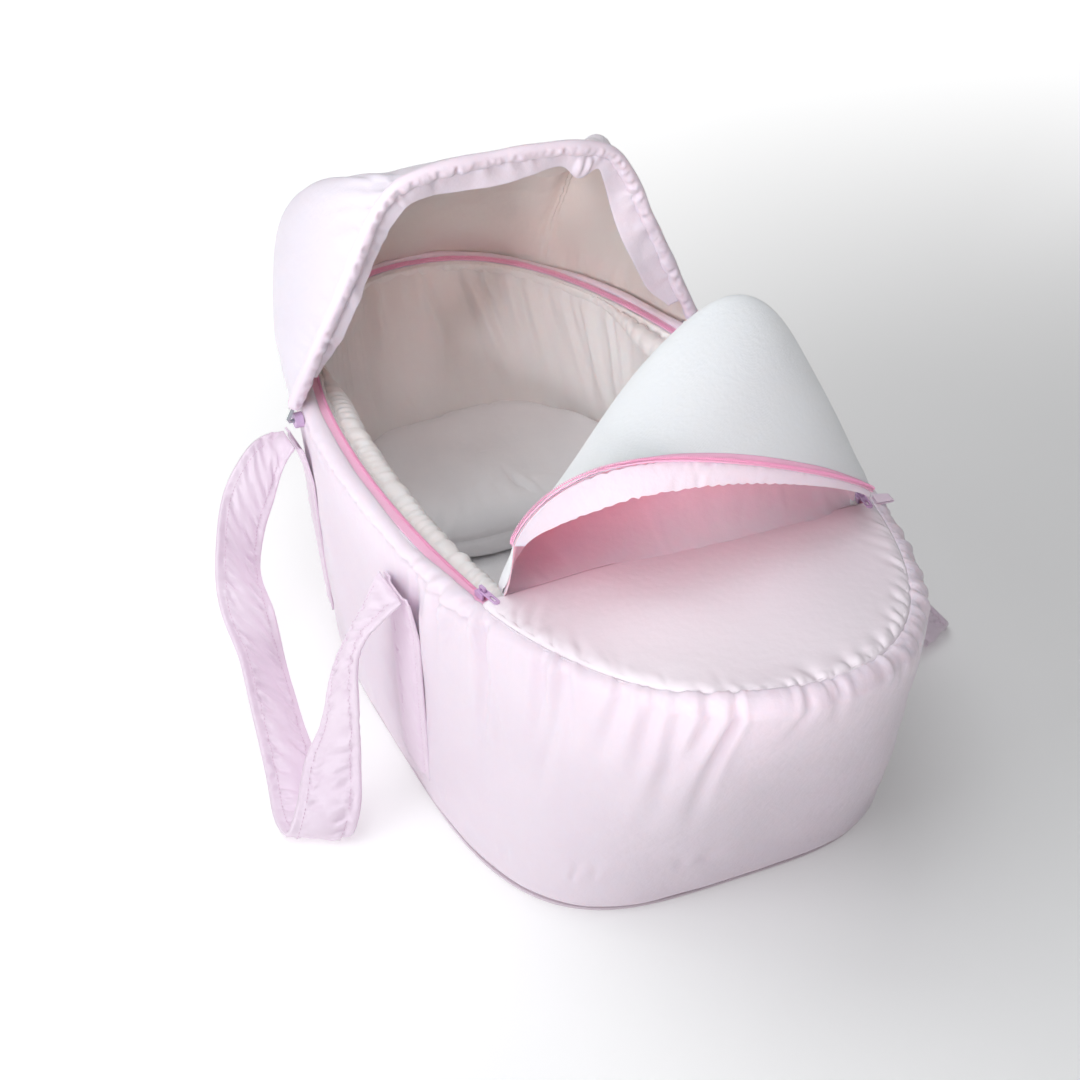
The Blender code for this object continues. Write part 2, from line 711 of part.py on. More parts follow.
def bow_route(count, start=0.0):
    """Points along the hood bow from the left foot to the right foot, with outward directions."""
    foot = Vector((-BOW_FOOT_X, HOOD_PIVOT_Y, HOOD_PIVOT_Z))
    corner = Vector((-BOW_TOP_HALF, HOOD_PIVOT_Y + BOW_LEAN, BOW_TOP_Z))
    leg = (corner - foot).normalized()
    foot = foot + leg * start
    before = corner - leg * BOW_CORNER
    after = corner + Vector((BOW_CORNER, 0, 0))
    rise = Vector((0, 0, BOW_CROWN))
    left = [foot, foot.lerp(before, 1 / 3), foot.lerp(before, 2 / 3), before]
    left += [(before + after) / 4 + corner / 2, after + rise / 3]
    left.append(Vector((-BOW_TOP_HALF / 3, corner.y, corner.z)) + rise)
    route = left + [Vector((-p.x, p.y, p.z)) for p in reversed(left)]
    points = smooth_route(route, count)
    outward = []
    for i, point in enumerate(points):
        tangent = points[min(i + 1, count - 1)] - points[max(i - 1, 0)]
        outward.append(Vector((0, 1, 0)).cross(tangent).normalized() * -1)
    return points, [-o if o.dot(p - HOOD_PIVOT) < 0 else o for o, p in zip(outward, points)]


def tube_rings(points, outward, radius, sides):
    """Rings of points round a line that has an outward direction at each station."""
    rings = []
    for i, (point, out) in enumerate(zip(points, outward)):
        tangent = (points[min(i + 1, len(points) - 1)] - points[max(i - 1, 0)]).normalized()
        side = tangent.cross(out).normalized()
        ring = []
        for k in range(sides):
            turn = math.tau * k / sides
            ring.append(point + (out * math.cos(turn) + side * math.sin(turn)) * radius)
        rings.append(ring)
    return rings


def bow_wire():
    """Sprung wire of the hood with its ends turned inward as pins."""
    points, _ = bow_route(BOW_STEPS, start=SLEEVE_START)
    ends = []
    for side, near in ((-1, points[0]), (1, points[-1])):
        pin = Vector((side * (BOW_FOOT_X - PIN_LENGTH), HOOD_PIVOT_Y, HOOD_PIVOT_Z))
        bend = Vector((side * BOW_FOOT_X, HOOD_PIVOT_Y, HOOD_PIVOT_Z))
        inward, upward = (pin - bend).normalized(), (near - bend).normalized()
        bends = [bend + move * WIRE_BEND for move in (inward * 2, inward, upward)]
        ends.append([pin, *bends])
    route = ends[0] + points + ends[1][::-1]
    rings = []
    for i, point in enumerate(route):
        tangent = (route[min(i + 1, len(route) - 1)] - route[max(i - 1, 0)]).normalized()
        across = tangent.cross(Vector((0, 1, 0))).normalized()
        along = across.cross(tangent)
        ring = []
        for k in range(WIRE_SIDES):
            turn = math.tau * k / WIRE_SIDES
            ring.append(point + (across * math.cos(turn) + along * math.sin(turn)) * (WIRE_THICK / 2))
        rings.append(ring)
    add_object("bow_wire", skin(rings), STEEL, HOOD_PIVOT, roughness=0.3, metallic=1.0)


def bow_sleeve():
    """Padded fabric tube round the bow, open at both ends."""
    points, outward = bow_route(BOW_STEPS, start=SLEEVE_START)
    bore = (WIRE_THICK / 2 + WIRE_CLEARANCE) / math.cos(math.pi / SLEEVE_SIDES)
    outer = tube_rings(points, outward, SLEEVE_THICK / 2, SLEEVE_SIDES)
    inner = tube_rings(points, outward, bore, SLEEVE_SIDES)
    add_object("bow_sleeve", skin(outer + inner[::-1], closed_path=True), SATIN, HOOD_PIVOT)


def bow_socket(name, side):
    """Bored disc on the shell that the bow's pin turns in."""
    start = outline(side_angle(HOOD_PIVOT_Y - SOCKET_RADIUS, 0), 1.0, 0)[0] + GAP
    leg_lean = SOCKET_RADIUS * (BOW_FOOT_X - BOW_TOP_HALF) / (BOW_TOP_Z - HOOD_PIVOT_Z)
    finish = BOW_FOOT_X - leg_lean - WIRE_THICK / 2 - GAP - LAYER_GAP
    bore = (WIRE_THICK / 2 + WIRE_CLEARANCE) / math.cos(math.pi / SOCKET_SIDES)
    turns = [math.tau * k / SOCKET_SIDES for k in range(SOCKET_SIDES)]
    rings = []
    for radius, x in ((bore, start), (SOCKET_RADIUS, start), (SOCKET_RADIUS, finish), (bore, finish)):
        centre = Vector((side * x, HOOD_PIVOT_Y, HOOD_PIVOT_Z))
        rings.append([centre + Vector((0, math.cos(t), math.sin(t))) * radius for t in turns])
    add_object(name, skin(rings, closed_path=True), LILAC, roughness=0.4)


def hood_rear(across):
    """Lower edge of the hood outside the rim, from the left pivot round the head to the right pivot."""
    start = side_angle(HOOD_PIVOT_Y + SLEEVE_THICK, 0)
    turns = (math.pi - start, math.pi - HOOD_BACK_ANGLE, math.pi / 2, HOOD_BACK_ANGLE, start)
    angle = float(np.interp(across, HOOD_BACK_SHARES, turns))
    slack = CANOPY_SLACK * math.exp(-(((across - SLACK_PLACE) / SLACK_WIDTH) ** 2))
    stand_off = CANOPY_THICK + LAYER_GAP + LINING_THICK + CANOPY_CLEARANCE
    return rim_point(angle, -stand_off, CANOPY_DROP - slack)


def hood_grid():
    """Outer face of the hood: rows run from the bow back to the rim."""
    points, outward = bow_route(HOOD_COLUMNS + 1, start=SLEEVE_START - CANOPY_THICK)
    grid = []
    for i, (point, out) in enumerate(zip(points, outward)):
        across = i / HOOD_COLUMNS
        front = point + out * CANOPY_THICK
        front.y += SLEEVE_THICK / 2 + CANOPY_FRONT_GAP
        rear = hood_rear(across)
        corner = Vector((front.x, front.y, rear.z))
        bulge = math.exp(-(((abs(across - 0.5) - BULGE_PLACE) / BULGE_WIDTH) ** 2))
        bulge *= min(1.0, (0.5 - abs(across - 0.5)) / BULGE_END)
        side = min(1.0, max(0.0, (abs(across - 0.5) - GUSSET_START) / GUSSET_WIDTH))
        power = mix(ROOF_POWER, SIDE_POWER, side * side * (3 - 2 * side))
        row = []
        for k in range(HOOD_ROWS + 1):
            turn = math.pi / 2 * k / HOOD_ROWS
            rise = power_wave(max(0, math.cos(turn)), power)
            reach = power_wave(max(0, math.sin(turn)), power)
            point = corner + (front - corner) * rise + (rear - corner) * reach
            swell = arch(k / HOOD_ROWS)
            if 2 * i != HOOD_COLUMNS:
                point.x += math.copysign(CANOPY_BULGE * bulge * swell, point.x)
            point.z += (BULGE_LIFT * bulge - ROOF_SAG * arch(across)) * swell
            row.append(point)
        grid.append(row)
    return grid


def hood_fabric():
    grid = hood_grid()
    normals = grid_normals(grid, HOOD_ROWS // 3)
    inner = offset_grid(grid, normals, -CANOPY_THICK)
    add_object("hood_canopy", panel(grid, inner), SATIN, HOOD_PIVOT)
    gap = CANOPY_THICK + LINING_GAP
    start = offset_grid(grid, normals, -gap)
    finish = offset_grid(grid, normals, -(gap + LINING_THICK))
    add_object("hood_lining", panel(start, finish), IVORY, HOOD_PIVOT)


def hood_facing():
    """Band of cloth that hangs inside the bow."""
    points, outward = bow_route(FACING_STEPS + 1, start=FACING_START)
    half = Vector((0, FACING_THICK / 2, 0))
    rings = []
    for i, (point, out) in enumerate(zip(points, outward)):
        width = mix(FACING_ENDS, FACING_WIDTH, arch(i / FACING_STEPS) ** 0.5)
        near = point - out * (SLEEVE_THICK / 2 + GAP)
        back = Vector((0, FACING_LEAN, 0)) - out
        far = near + back.normalized() * width
        rings.append([near - half, near + half, far + half, far - half])
    add_object("hood_facing", skin(rings), SATIN, HOOD_PIVOT)


# Handle's route from the head anchor down to the floor and up to the foot anchor: its two edges, each as the
# distance out from the rim's widest line, the place along the basket and the height
STRAP_EDGES = (
    ((0.0020, 0.184, 0.2050), (0.0020, 0.150, 0.2050)),
    ((0.0200, 0.178, 0.2090), (0.0160, 0.143, 0.1920)),
    ((0.0420, 0.163, 0.2080), (0.0300, 0.133, 0.1680)),
    ((0.0700, 0.150, 0.1780), (0.0440, 0.124, 0.1420)),
    ((0.0950, 0.105, 0.1370), (0.0530, 0.113, 0.1120)),
    ((0.1000, 0.087, 0.1070), (0.0550, 0.072, 0.0940)),
    ((0.0980, 0.041, 0.0720), (0.0540, 0.047, 0.0440)),
    ((0.1020, -0.006, 0.0400), (0.0560, 0.005, 0.0220)),
    ((0.1080, -0.050, 0.0180), (0.0590, -0.043, 0.0110)),
    ((0.1145, -0.090, 0.0062), (0.0640, -0.104, 0.0056)),
    ((0.1120, -0.115, 0.0110), (0.0640, -0.139, 0.0110)),
    ((0.1000, -0.107, 0.0290), (0.0540, -0.135, 0.0330)),
    ((0.0820, -0.080, 0.0490), (0.0440, -0.113, 0.0600)),
    ((0.0600, -0.065, 0.0780), (0.0400, -0.103, 0.1050)),
    ((0.0440, -0.050, 0.1080), (0.0380, -0.097, 0.1410)),
    ((0.0320, -0.060, 0.1480), (0.0340, -0.106, 0.1740)),
    ((0.0200, -0.066, 0.1760), (0.0220, -0.118, 0.1980)),
    ((0.0055, -0.072, 0.2120), (0.0055, -0.122, 0.2120)),
)


def strap_edges(side):
    """Edge points of one handle; the right one is splayed further out."""
    out = []
    for pair in STRAP_EDGES:
        placed = []
        for stand_off, y, height in pair:
            z = height * RIM_HEIGHT / STRAP_RIM_HEIGHT
            splay = max(0.0, 1 - z / SPLAY_HEIGHT) if side > 0 else 0.0
            x = RIM_WIDTH / 2 + stand_off + RIGHT_SPLAY[0] * splay
            placed.append(Vector((side * x, y + RIGHT_SPLAY[1] * splay, z)))
        out.append(placed)
    return out


def strap_axis(side):
    """Middle of the handle's two sewn ends, which it swings about."""
    pairs = strap_edges(side)
    return (pairs[0][0] + pairs[0][1]) / 2, (pairs[-1][0] + pairs[-1][1]) / 2


def strap_ring(a, b, tangent, thick):
    """Section of a strap between two edge points: full in the middle and thin at both edges."""
    across = b - a
    normal = tangent.cross(across).normalized()
    middle = (a + b) / 2
    edge = min(STRAP_EDGE_THICK, thick) / 2
    rows = ((-0.5, edge), (-STRAP_FLAT_SHARE, thick / 2), (STRAP_FLAT_SHARE, thick / 2), (0.5, edge))
    upper = [middle + across * f + normal * h for f, h in rows]
    lower = [middle + across * f - normal * h for f, h in reversed(rows)]
    return upper + lower


def handle(name, side):
    """Padded strap from the head anchor down to the floor and up to the foot anchor."""
    pairs = strap_edges(side)
    first_edge = smooth_route([a for a, _ in pairs], STRAP_STEPS)
    second_edge = smooth_route([b for _, b in pairs], STRAP_STEPS)
    centres = [(a + b) / 2 for a, b in zip(first_edge, second_edge)]
    rings = []
    for i, centre in enumerate(centres):
        tangent = (centres[min(i + 1, STRAP_STEPS - 1)] - centres[max(i - 1, 0)]).normalized()
        rings.append(strap_ring(first_edge[i], second_edge[i], tangent, STRAP_THICK))
        if i in (0, STRAP_STEPS - 1):
            away = -tangent if i == 0 else tangent
            for reach, thick in STRAP_END:
                move = away * (STRAP_THICK / 2 * reach)
                edge = strap_ring(first_edge[i] + move, second_edge[i] + move, tangent, STRAP_THICK * thick)
                rings.insert(0 if i == 0 else len(rings), edge)
    head, foot = strap_axis(side)
    add_object(name, skin(rings), SATIN, (head + foot) / 2)


def wall_strip(y, share, out, side):
    """Point on the wall's outer face at a given y, moved outward."""
    point = wall_point(side_angle(y, 0, share), share, -out)
    return Vector((side * point.x, point.y, point.z))


def handle_band(name, side, end):
    """Strap end sewn down the wall, its top edge standing out to the handle's rounded end."""
    anchors = strap_axis(side)
    along = anchors[1] - anchors[0]
    middle = anchors[end]
    sheets = []
    for thick, (inward, down) in ((0, BAND_TOP_NEAR), (BAND_THICK, BAND_TOP_FAR)):
        sheet = []
        offsets = [BAND_WIDTH * (k / BAND_COLUMNS - 0.5) for k in range(BAND_COLUMNS + 1)]
        for i in range(BAND_ROWS + 1):
            share = mix(BAND_FOOT_SHARE, BAND_BEND_SHARE, i / BAND_ROWS)
            sheet.append([wall_strip(middle.y + y, share, LAYER_GAP + thick, side) for y in offsets])
        edge = Vector((-side * inward, 0, -down))
        sheets.append(sheet + [[middle + along * (y / along.y) + edge for y in offsets]])
    add_object(name, panel(*sheets), SATIN)


def box(shape, low, high, place):
    """Add a box between two corners, placed by a function from local to world."""
    corners = [(x, y, z) for z in (low[2], high[2]) for y in (low[1], high[1]) for x in (low[0], high[0])]
    verts = [shape.verts.new(place(*corner)) for corner in corners]
    for face in ((0, 2, 3, 1), (4, 5, 7, 6), (0, 1, 5, 4), (2, 6, 7, 3), (0, 4, 6, 2), (1, 3, 7, 5)):
        shape.faces.new([verts[i] for i in face])


def slider_place(side):
    """Local frame of a slider: across is outward, along is to the head and up is off the tape."""
    point, outward, forward = side_zip_frame(SLIDER_REST_Y, side)
    base = point - UP_FROM_SIDE * (TAPE_TOP_DROP - GAP)

    def place(across, along, up):
        return base + outward * across + forward * along + UP_FROM_SIDE * up

    return place


def cut_or_join(target, operation, shape):
    """Boolean one hidden tool shape with an object."""
    tool = add_object(target.name + "_" + operation.lower(), shape, LILAC)
    tool.hide_render = True
    tool.display_type = "WIRE"
    boolean = target.modifiers.new(operation, "BOOLEAN")
    boolean.operation = operation
    boolean.object = tool


SLIDER_CEILING = COIL_THICK + SLIDER_TOP_CLEARANCE
SLIDER_TOP = SLIDER_CEILING + SLIDER_WALL
BRIDGE_REACH = SLIDER_LENGTH * 0.31


def zip_slider(name, side):
    """Slider body astride the coil: a channel below and a bridge for the pull on top."""
    place = slider_place(side)
    channel = COIL_THICK / 2 + SLIDER_SIDE_CLEARANCE
    half = channel + SLIDER_WALL
    body = [(-half, 0), (-channel, 0), (-channel, SLIDER_CEILING), (channel, SLIDER_CEILING)]
    body += [(channel, 0), (half, 0), (half, SLIDER_TOP), (-half, SLIDER_TOP)]
    ends = (-SLIDER_LENGTH / 2, SLIDER_LENGTH / 2)
    shape = skin([[place(a, along, b) for a, b in body] for along in ends])
    made = add_object(name, shape, LILAC, place(0, 0, 0), roughness=0.35)
    bridge_half = BRIDGE_WIDTH / 2
    bridge = bmesh.new()
    low = (-bridge_half, -BRIDGE_REACH, SLIDER_TOP - SLIDER_WALL / 3)
    box(bridge, low, (bridge_half, BRIDGE_REACH, SLIDER_TOP + BRIDGE_HEIGHT), place)
    cut_or_join(made, "UNION", bridge)
    opening = bmesh.new()
    reach = BRIDGE_REACH - BRIDGE_THICK
    top = SLIDER_TOP + BRIDGE_HEIGHT - BRIDGE_THICK
    box(opening, (-BRIDGE_WIDTH, -reach, SLIDER_TOP), (BRIDGE_WIDTH, reach, top), place)
    cut_or_join(made, "DIFFERENCE", opening)


PULL_AXIS_ALONG = -BRIDGE_REACH + BRIDGE_THICK + PULL_BAR / 2 + PULL_BAR_CLEARANCE


def pull_pivot(side):
    """Axis point of a pull, in the middle of the bar that lies inside the slider's bridge."""
    return slider_place(side)(0, PULL_AXIS_ALONG, SLIDER_TOP + PULL_CLEARANCE + PULL_THICK / 2)


def zip_pull(name, side):
    """Flat pull with an eye round the bridge and a slot near its tip, lying towards the foot end."""
    place = slider_place(side)
    low = SLIDER_TOP + PULL_CLEARANCE
    high = low + PULL_THICK
    head = PULL_AXIS_ALONG + PULL_BAR / 2
    tip = head - PULL_LENGTH
    half = PULL_WIDTH / 2
    corner = PULL_WIDTH * 0.3
    outer = [(-half, head), (-half, tip + corner), (corner - half, tip)]
    outer += [(half - corner, tip), (half, tip + corner), (half, head)]
    shape = skin([[place(a, b, c) for a, b in outer] for c in (low, high)])
    made = add_object(name, shape, LILAC, pull_pivot(side), roughness=0.3)
    holes = bmesh.new()
    eye = BRIDGE_WIDTH / 2 + LAYER_GAP
    slot = PULL_WIDTH * 0.22
    bottom, top = low - PULL_THICK, high + PULL_THICK
    box(holes, (-eye, PULL_AXIS_ALONG - PULL_EYE_REACH, bottom), (eye, head - PULL_BAR, top), place)
    slot_foot = tip + PULL_SLOT_MARGIN
    box(holes, (-slot, slot_foot, bottom), (slot, slot_foot + PULL_SLOT_LENGTH, top), place)
    cut_or_join(made, "DIFFERENCE", holes)


def corner_tab():
    """Folded fabric tab at the right corner of the foot cover."""
    _, outward, forward = side_zip_frame(COVER_LINE_Y, 1)
    height = rim_height(COVER_LINE_Y) + LAYER_GAP
    edge = outline(side_angle(COVER_LINE_Y, 0), 1.0, 0)[0]
    base = Vector((edge - SHOULDER + GAP, COVER_LINE_Y, height))

    def place(across, along, up):
        return base + outward * across + forward * along + Vector((0, 0, up))

    shape = bmesh.new()
    box(shape, (0, -TAB_WIDTH / 2, 0), (TAB_LENGTH, TAB_WIDTH / 2, TAB_THICK), place)
    add_object("corner_tab", shape, SATIN)


def report_axes():
    """Print the joint axes, so that they can be read off the build."""
    print("flap hinge", tuple(FLAP_HINGE), "hood pivot", tuple(HOOD_PIVOT))
    for side, label in ((-1, "left"), (1, "right")):
        head, foot = strap_axis(side)
        print("handle", label, tuple(head), "axis", tuple((head - foot).normalized()))
        centre_y = ARC_CENTRE[1] / SLOPE_STRETCH
        print("slider", label, "centre", side * ARC_CENTRE[0], centre_y, "radius", ARC_RADIUS)
        print("pull", label, tuple(pull_pivot(side)), "axis", tuple(side_zip_frame(SLIDER_REST_Y, side)[1]))
    print("slider axis", tuple(UP_FROM_SIDE))


base_fabric()
base_board()
outer_cover()
wall_padding()
inner_liner()
liner_roll()
rim_zip_tape()
rim_zip_coil()
pillow(mattress())
foot_cover()
FOLD = flap_grid()
FOLD_NORMALS = grid_normals(FOLD, FLAP_ROWS // 2)
flap_fabric(FOLD, FOLD_NORMALS)
flap_edge_parts(FOLD, FOLD_NORMALS)
bow_wire()
bow_sleeve()
hood_fabric()
hood_facing()
for side, label in ((-1, "left"), (1, "right")):
    bow_socket("bow_socket_" + label, side)
    handle("handle_" + label, side)
    handle_band("handle_" + label + "_head_band", side, 0)
    handle_band("handle_" + label + "_foot_band", side, 1)
    zip_slider("zip_slider_" + label, side)
    zip_pull("zip_pull_" + label, side)
corner_tab()
report_axes()
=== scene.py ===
# %% [markdown]
# # A soft carry bassinet
#
# The real thing is a padded satin basket with a folding hood, a zip-on cover that is thrown back over the foot end,
# and two quilted strap handles. Almost all of it is cloth, so its look comes from how the cloth is held: pulled
# tight over wadding, gathered into a seam, or hanging from a wire.
#
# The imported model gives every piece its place. This script dresses it: each cloth part is made again as a fine mesh
# with its own folds, and each gets a material named for what the real one is.

import math

import bpy
import numpy as np
from mathutils import Matrix, Vector


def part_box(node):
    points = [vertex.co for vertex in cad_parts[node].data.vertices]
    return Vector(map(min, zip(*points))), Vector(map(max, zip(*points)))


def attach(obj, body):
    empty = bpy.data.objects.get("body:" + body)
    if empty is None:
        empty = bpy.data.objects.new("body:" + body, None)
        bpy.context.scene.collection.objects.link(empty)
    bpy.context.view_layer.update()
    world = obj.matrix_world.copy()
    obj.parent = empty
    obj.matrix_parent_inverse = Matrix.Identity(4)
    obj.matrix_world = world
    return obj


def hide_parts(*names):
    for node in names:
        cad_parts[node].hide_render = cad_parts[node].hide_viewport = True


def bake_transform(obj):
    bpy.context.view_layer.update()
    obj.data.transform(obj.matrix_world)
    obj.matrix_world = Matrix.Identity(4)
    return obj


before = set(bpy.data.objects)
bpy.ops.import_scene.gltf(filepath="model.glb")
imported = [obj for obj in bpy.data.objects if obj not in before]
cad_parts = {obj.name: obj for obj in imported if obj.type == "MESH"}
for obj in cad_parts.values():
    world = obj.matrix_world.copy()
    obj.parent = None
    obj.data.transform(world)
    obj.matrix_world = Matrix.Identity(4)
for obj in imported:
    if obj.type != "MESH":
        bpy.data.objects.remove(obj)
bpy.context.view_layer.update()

# %% [markdown]
# ## Camera
#
# The photograph looks down on the foot end from the left. The camera's place and turn were solved from the basket's
# outline, so they are given as a point and a matrix, whose columns point right, up and back.

# %% Camera
CAMERA_PLACE = (-0.630457, -1.334624, 1.106103)
CAMERA_TURN = (
    (0.912014, 0.226750, -0.341783),
    (-0.410145, 0.497147, -0.764608),
    (-0.003459, 0.837514, 0.546405),
)
lens_view = bpy.data.cameras.new("camera")
lens_view.sensor_width, lens_view.lens, lens_view.clip_end = 36.0, 67.235, 2000
camera = bpy.data.objects.new("camera", lens_view)
camera.matrix_world = Matrix.Translation(CAMERA_PLACE) @ Matrix(CAMERA_TURN).to_4x4()
scene = bpy.context.scene
scene.collection.objects.link(camera)
scene.camera = camera
scene.view_settings.view_transform = "Standard"

# %% [markdown]
# ## Colours and nodes
#
# Colours are read as sRGB hex, the way a paint card gives them, and turned to the linear numbers that Blender mixes.
# One function adds a node with its settings and its links. The sky, the floor and all materials are built with it.


# %% Colour and node helpers
def linear(hex_code):
    """sRGB hex to linear RGBA."""
    parts = [int(hex_code[i : i + 2], 16) / 255 for i in (1, 3, 5)]
    return tuple(c / 12.92 if c <= 0.04045 else ((c + 0.055) / 1.055) ** 2.4 for c in parts) + (1.0,)


def add_node(tree, kind, settings=None, links=None):
    """Add a node, set its properties and input values, and link its inputs to (node, output name) pairs."""
    node = tree.nodes.new(kind)
    for key, value in (settings or {}).items():
        if isinstance(key, str) and hasattr(node, key):
            setattr(node, key, value)
        else:
            node.inputs[key].default_value = value
    for key, (source, output) in (links or {}).items():
        tree.links.new(source.outputs[output], node.inputs[key])
    return node


def new_material(name, settings):
    """A Principled material with the constant numbers set on the shader's own sockets."""
    made = bpy.data.materials.new(name)
    made.use_nodes = True
    shader = made.node_tree.nodes["Principled BSDF"]
    for key, value in settings.items():
        shader.inputs[key].default_value = value
    return made, made.node_tree, shader


# %% [markdown]
# ## Light and floor
#
# The light is bright and soft and comes mostly from the left, like a large window, so the left wall is nearly white
# and the right one falls into shade. Three large lights give the broad shading, three narrow spots lift the hood,
# its side and the cover, and a dim sky is brighter on the left. The pale floor glows, which is painted light, and
# its glow is dimmer near the right, a painted shade there; it also catches the shadow under the basket.

# %% Sky
world = bpy.data.worlds.new("studio")
scene.world = world
world.use_nodes = True
sky = world.node_tree
background = sky.nodes["Background"]
background.inputs["Color"].default_value = (1.0, 0.96, 0.955, 1.0)
looking = add_node(sky, "ShaderNodeTexCoord")
heading = add_node(sky, "ShaderNodeSeparateXYZ", {}, {"Vector": (looking, "Generated")})
side_shade = add_node(sky, "ShaderNodeMapRange", {"From Min": -1.0, "From Max": 0.8, "To Min": 0.33, "To Max": 0.0},
                      {"Value": (heading, "X")})
sky.links.new(side_shade.outputs["Result"], background.inputs["Strength"])


# %% Lights
def add_light(kind, name, place, aim, power, colour, **settings):
    """A light at a place, turned towards a point."""
    lamp = bpy.data.lights.new(name, kind)
    lamp.energy, lamp.color = power, colour
    for key, value in settings.items():
        setattr(lamp, key, value)
    made = bpy.data.objects.new(name, lamp)
    made.location = place
    made.rotation_euler = (Vector(aim) - Vector(place)).to_track_quat("-Z", "Y").to_euler()
    scene.collection.objects.link(made)


for name, place, aim, power, size, colour in (
    ("window_light", (-2.3, -0.55, 1.4), (0, 0, 0.15), 22, 1.7, (0.93, 0.98, 1.0)),
    ("front_light", (-0.6, -1.2, 2.5), (0, 0, 0.15), 18, 1.5, (0.94, 0.98, 1.0)),
    ("top_light", (-0.5, 0.5, 2.7), (0, 0.1, 0.2), 22, 1.8, (0.97, 0.985, 1.0)),
):
    add_light("AREA", name, place, aim, power, colour, size=size)
for name, place, aim, power, degrees, colour in (
    ("hood_light", (-0.35, -1.15, 1.05), (0.08, 0.33, 0.32), 11, 16, (1.0, 0.80, 0.70)),
    ("side_light", (-1.50, -1.00, 0.80), (0.15, 0.23, 0.29), 66, 13, (0.93, 0.94, 1.0)),
    ("cover_light", (-0.50, -1.75, 0.66), (-0.01, -0.20, 0.31), 82, 10, (1.0, 0.89, 0.91)),
):
    add_light("SPOT", name, place, aim, power, colour, spot_size=math.radians(degrees), spot_blend=1.0,
              shadow_soft_size=0.12)


# %% Floor
def deselect():
    """Clear the selection, because an operator acts on all that is selected."""
    bpy.ops.object.select_all(action="DESELECT")


deselect()
bpy.ops.mesh.primitive_plane_add(size=1500)
floor = bpy.context.object
floor.name = "floor"
paint, tree, shader = new_material("floor_painted_glow", {"Roughness": 0.7, "Base Color": linear("#DCDCDC"),
                                                   "Emission Color": linear("#FFFFFF")})
# The floor's emission is painted light: the floor glows, and a painted shade dims the glow near the basket's right.
place = add_node(tree, "ShaderNodeTexCoord")
far = add_node(tree, "ShaderNodeVectorMath", {"operation": "DISTANCE", 1: (0.65, -0.25, 0.0)}, {0: (place, "Object")})
glow = add_node(tree, "ShaderNodeMapRange", {"interpolation_type": "SMOOTHSTEP", "From Min": 0.25, "From Max": 2.0,
                                             "To Min": 0.15, "To Max": 0.88}, {"Value": (far, "Value")})
tree.links.new(glow.outputs["Result"], shader.inputs["Emission Strength"])
floor.data.materials.append(paint)

# %% [markdown]
# ## Materials
#
# ### Cloths
#
# All the cloths share one build. Threads cross at a real spacing, in metres on the piece's UV map, which follows the
# cloth; where the real spacing is under half a millimetre it is drawn coarser, so that the render can show a grain.
# A slow noise varies the colour a little, as light cloth does where it is pressed or stretched, and a second noise
# gives the fine crumple that every sewn cloth keeps. Satin is smooth and catches a soft broad shine; brushed knit has
# a fuzz that the sheen stands for; thin cotton lets some light through.

# %% Cloth material
SHINE = ("Roughness", "Sheen Weight", "Sheen Roughness", "Specular IOR Level")


def cloth(name, lit, shade, thread, depth, crumple, shine, crumple_size=0.009, through=0.0, glow=0.72, root=None):
    """Woven or knitted cloth with its thread spacing, weave depth and crumple in metres.

    through is the light that passes in it, glow its paleness, and root a colour that its lower edge fades to, which
    on the cover's satin takes its painted rose shade back to the foot panel's colour.
    """
    made, tree, shader = new_material(name, dict(zip(SHINE, shine)))
    shader.inputs["Subsurface Weight"].default_value = through
    shader.inputs["Subsurface Scale"].default_value = 0.004
    shader.inputs["Subsurface Radius"].default_value = (1.0, glow, glow * 0.9)
    place = add_node(tree, "ShaderNodeTexCoord")
    mottle = add_node(tree, "ShaderNodeTexNoise", {"Scale": 16.0, "Detail": 3.0}, {"Vector": (place, "Object")})
    colour = add_node(tree, "ShaderNodeMix", {"data_type": "RGBA", 6: linear(lit), 7: linear(shade)},
                      {0: (mottle, "Fac")})
    # A root colour fades out the painted rose shade over the lowest 6 cm, where the cover's satin lands on the foot
    # panel.
    if root:
        across = add_node(tree, "ShaderNodeSeparateXYZ", {}, {"Vector": (place, "UV")})
        climb = add_node(tree, "ShaderNodeMapRange", {"interpolation_type": "SMOOTHSTEP", "From Max": 0.06},
                         {"Value": (across, "Y")})
        colour = add_node(tree, "ShaderNodeMix", {"data_type": "RGBA", 6: linear(root)},
                          {0: (climb, "Result"), 7: (colour, 2)})
    tree.links.new(colour.outputs[2], shader.inputs["Base Color"])
    bands = {"wave_type": "BANDS", "Scale": 0.314 / thread, "Distortion": 0.4, "Detail": 1.0}
    warp, weft = (add_node(tree, "ShaderNodeTexWave", {**bands, "bands_direction": axis}, {"Vector": (place, "UV")})
                  for axis in "XY")
    weave = add_node(tree, "ShaderNodeMath", {"operation": "ADD"}, {0: (warp, "Fac"), 1: (weft, "Fac")})
    crumpled = add_node(tree, "ShaderNodeTexNoise", {"Scale": 1 / crumple_size, "Detail": 4.0, "Roughness": 0.55},
                        {"Vector": (place, "Object")})
    low = add_node(tree, "ShaderNodeBump", {"Distance": crumple, "Strength": 1.0}, {"Height": (crumpled, "Fac")})
    fine = add_node(tree, "ShaderNodeBump", {"Distance": depth, "Strength": 0.6},
                    {"Height": (weave, "Value"), "Normal": (low, "Normal")})
    tree.links.new(fine.outputs["Normal"], shader.inputs["Normal"])
    return made


# %% Cloths of the bassinet
# Polyester satin, woven with long floats: smooth, softly shiny, a little lighter where it faces the light
satin = cloth("polyester_satin", "#F3E6F0", "#EFE0EC", 0.0008, 0.00002, 0.0006, (0.5, 0.25, 0.35, 0.45), through=0.4)
# The same satin stretched over the flat panels, with less crumple, and painted lighter than the shell's: painted
# light that offsets the shade and pink bounce under the thrown-back cover
satin_painted_lighter = cloth("stretched_satin_painted_lighter", "#F7EEF4", "#F4E9F1", 0.0008, 0.00002, 0.0003, (0.48, 0.2, 0.35, 0.45))
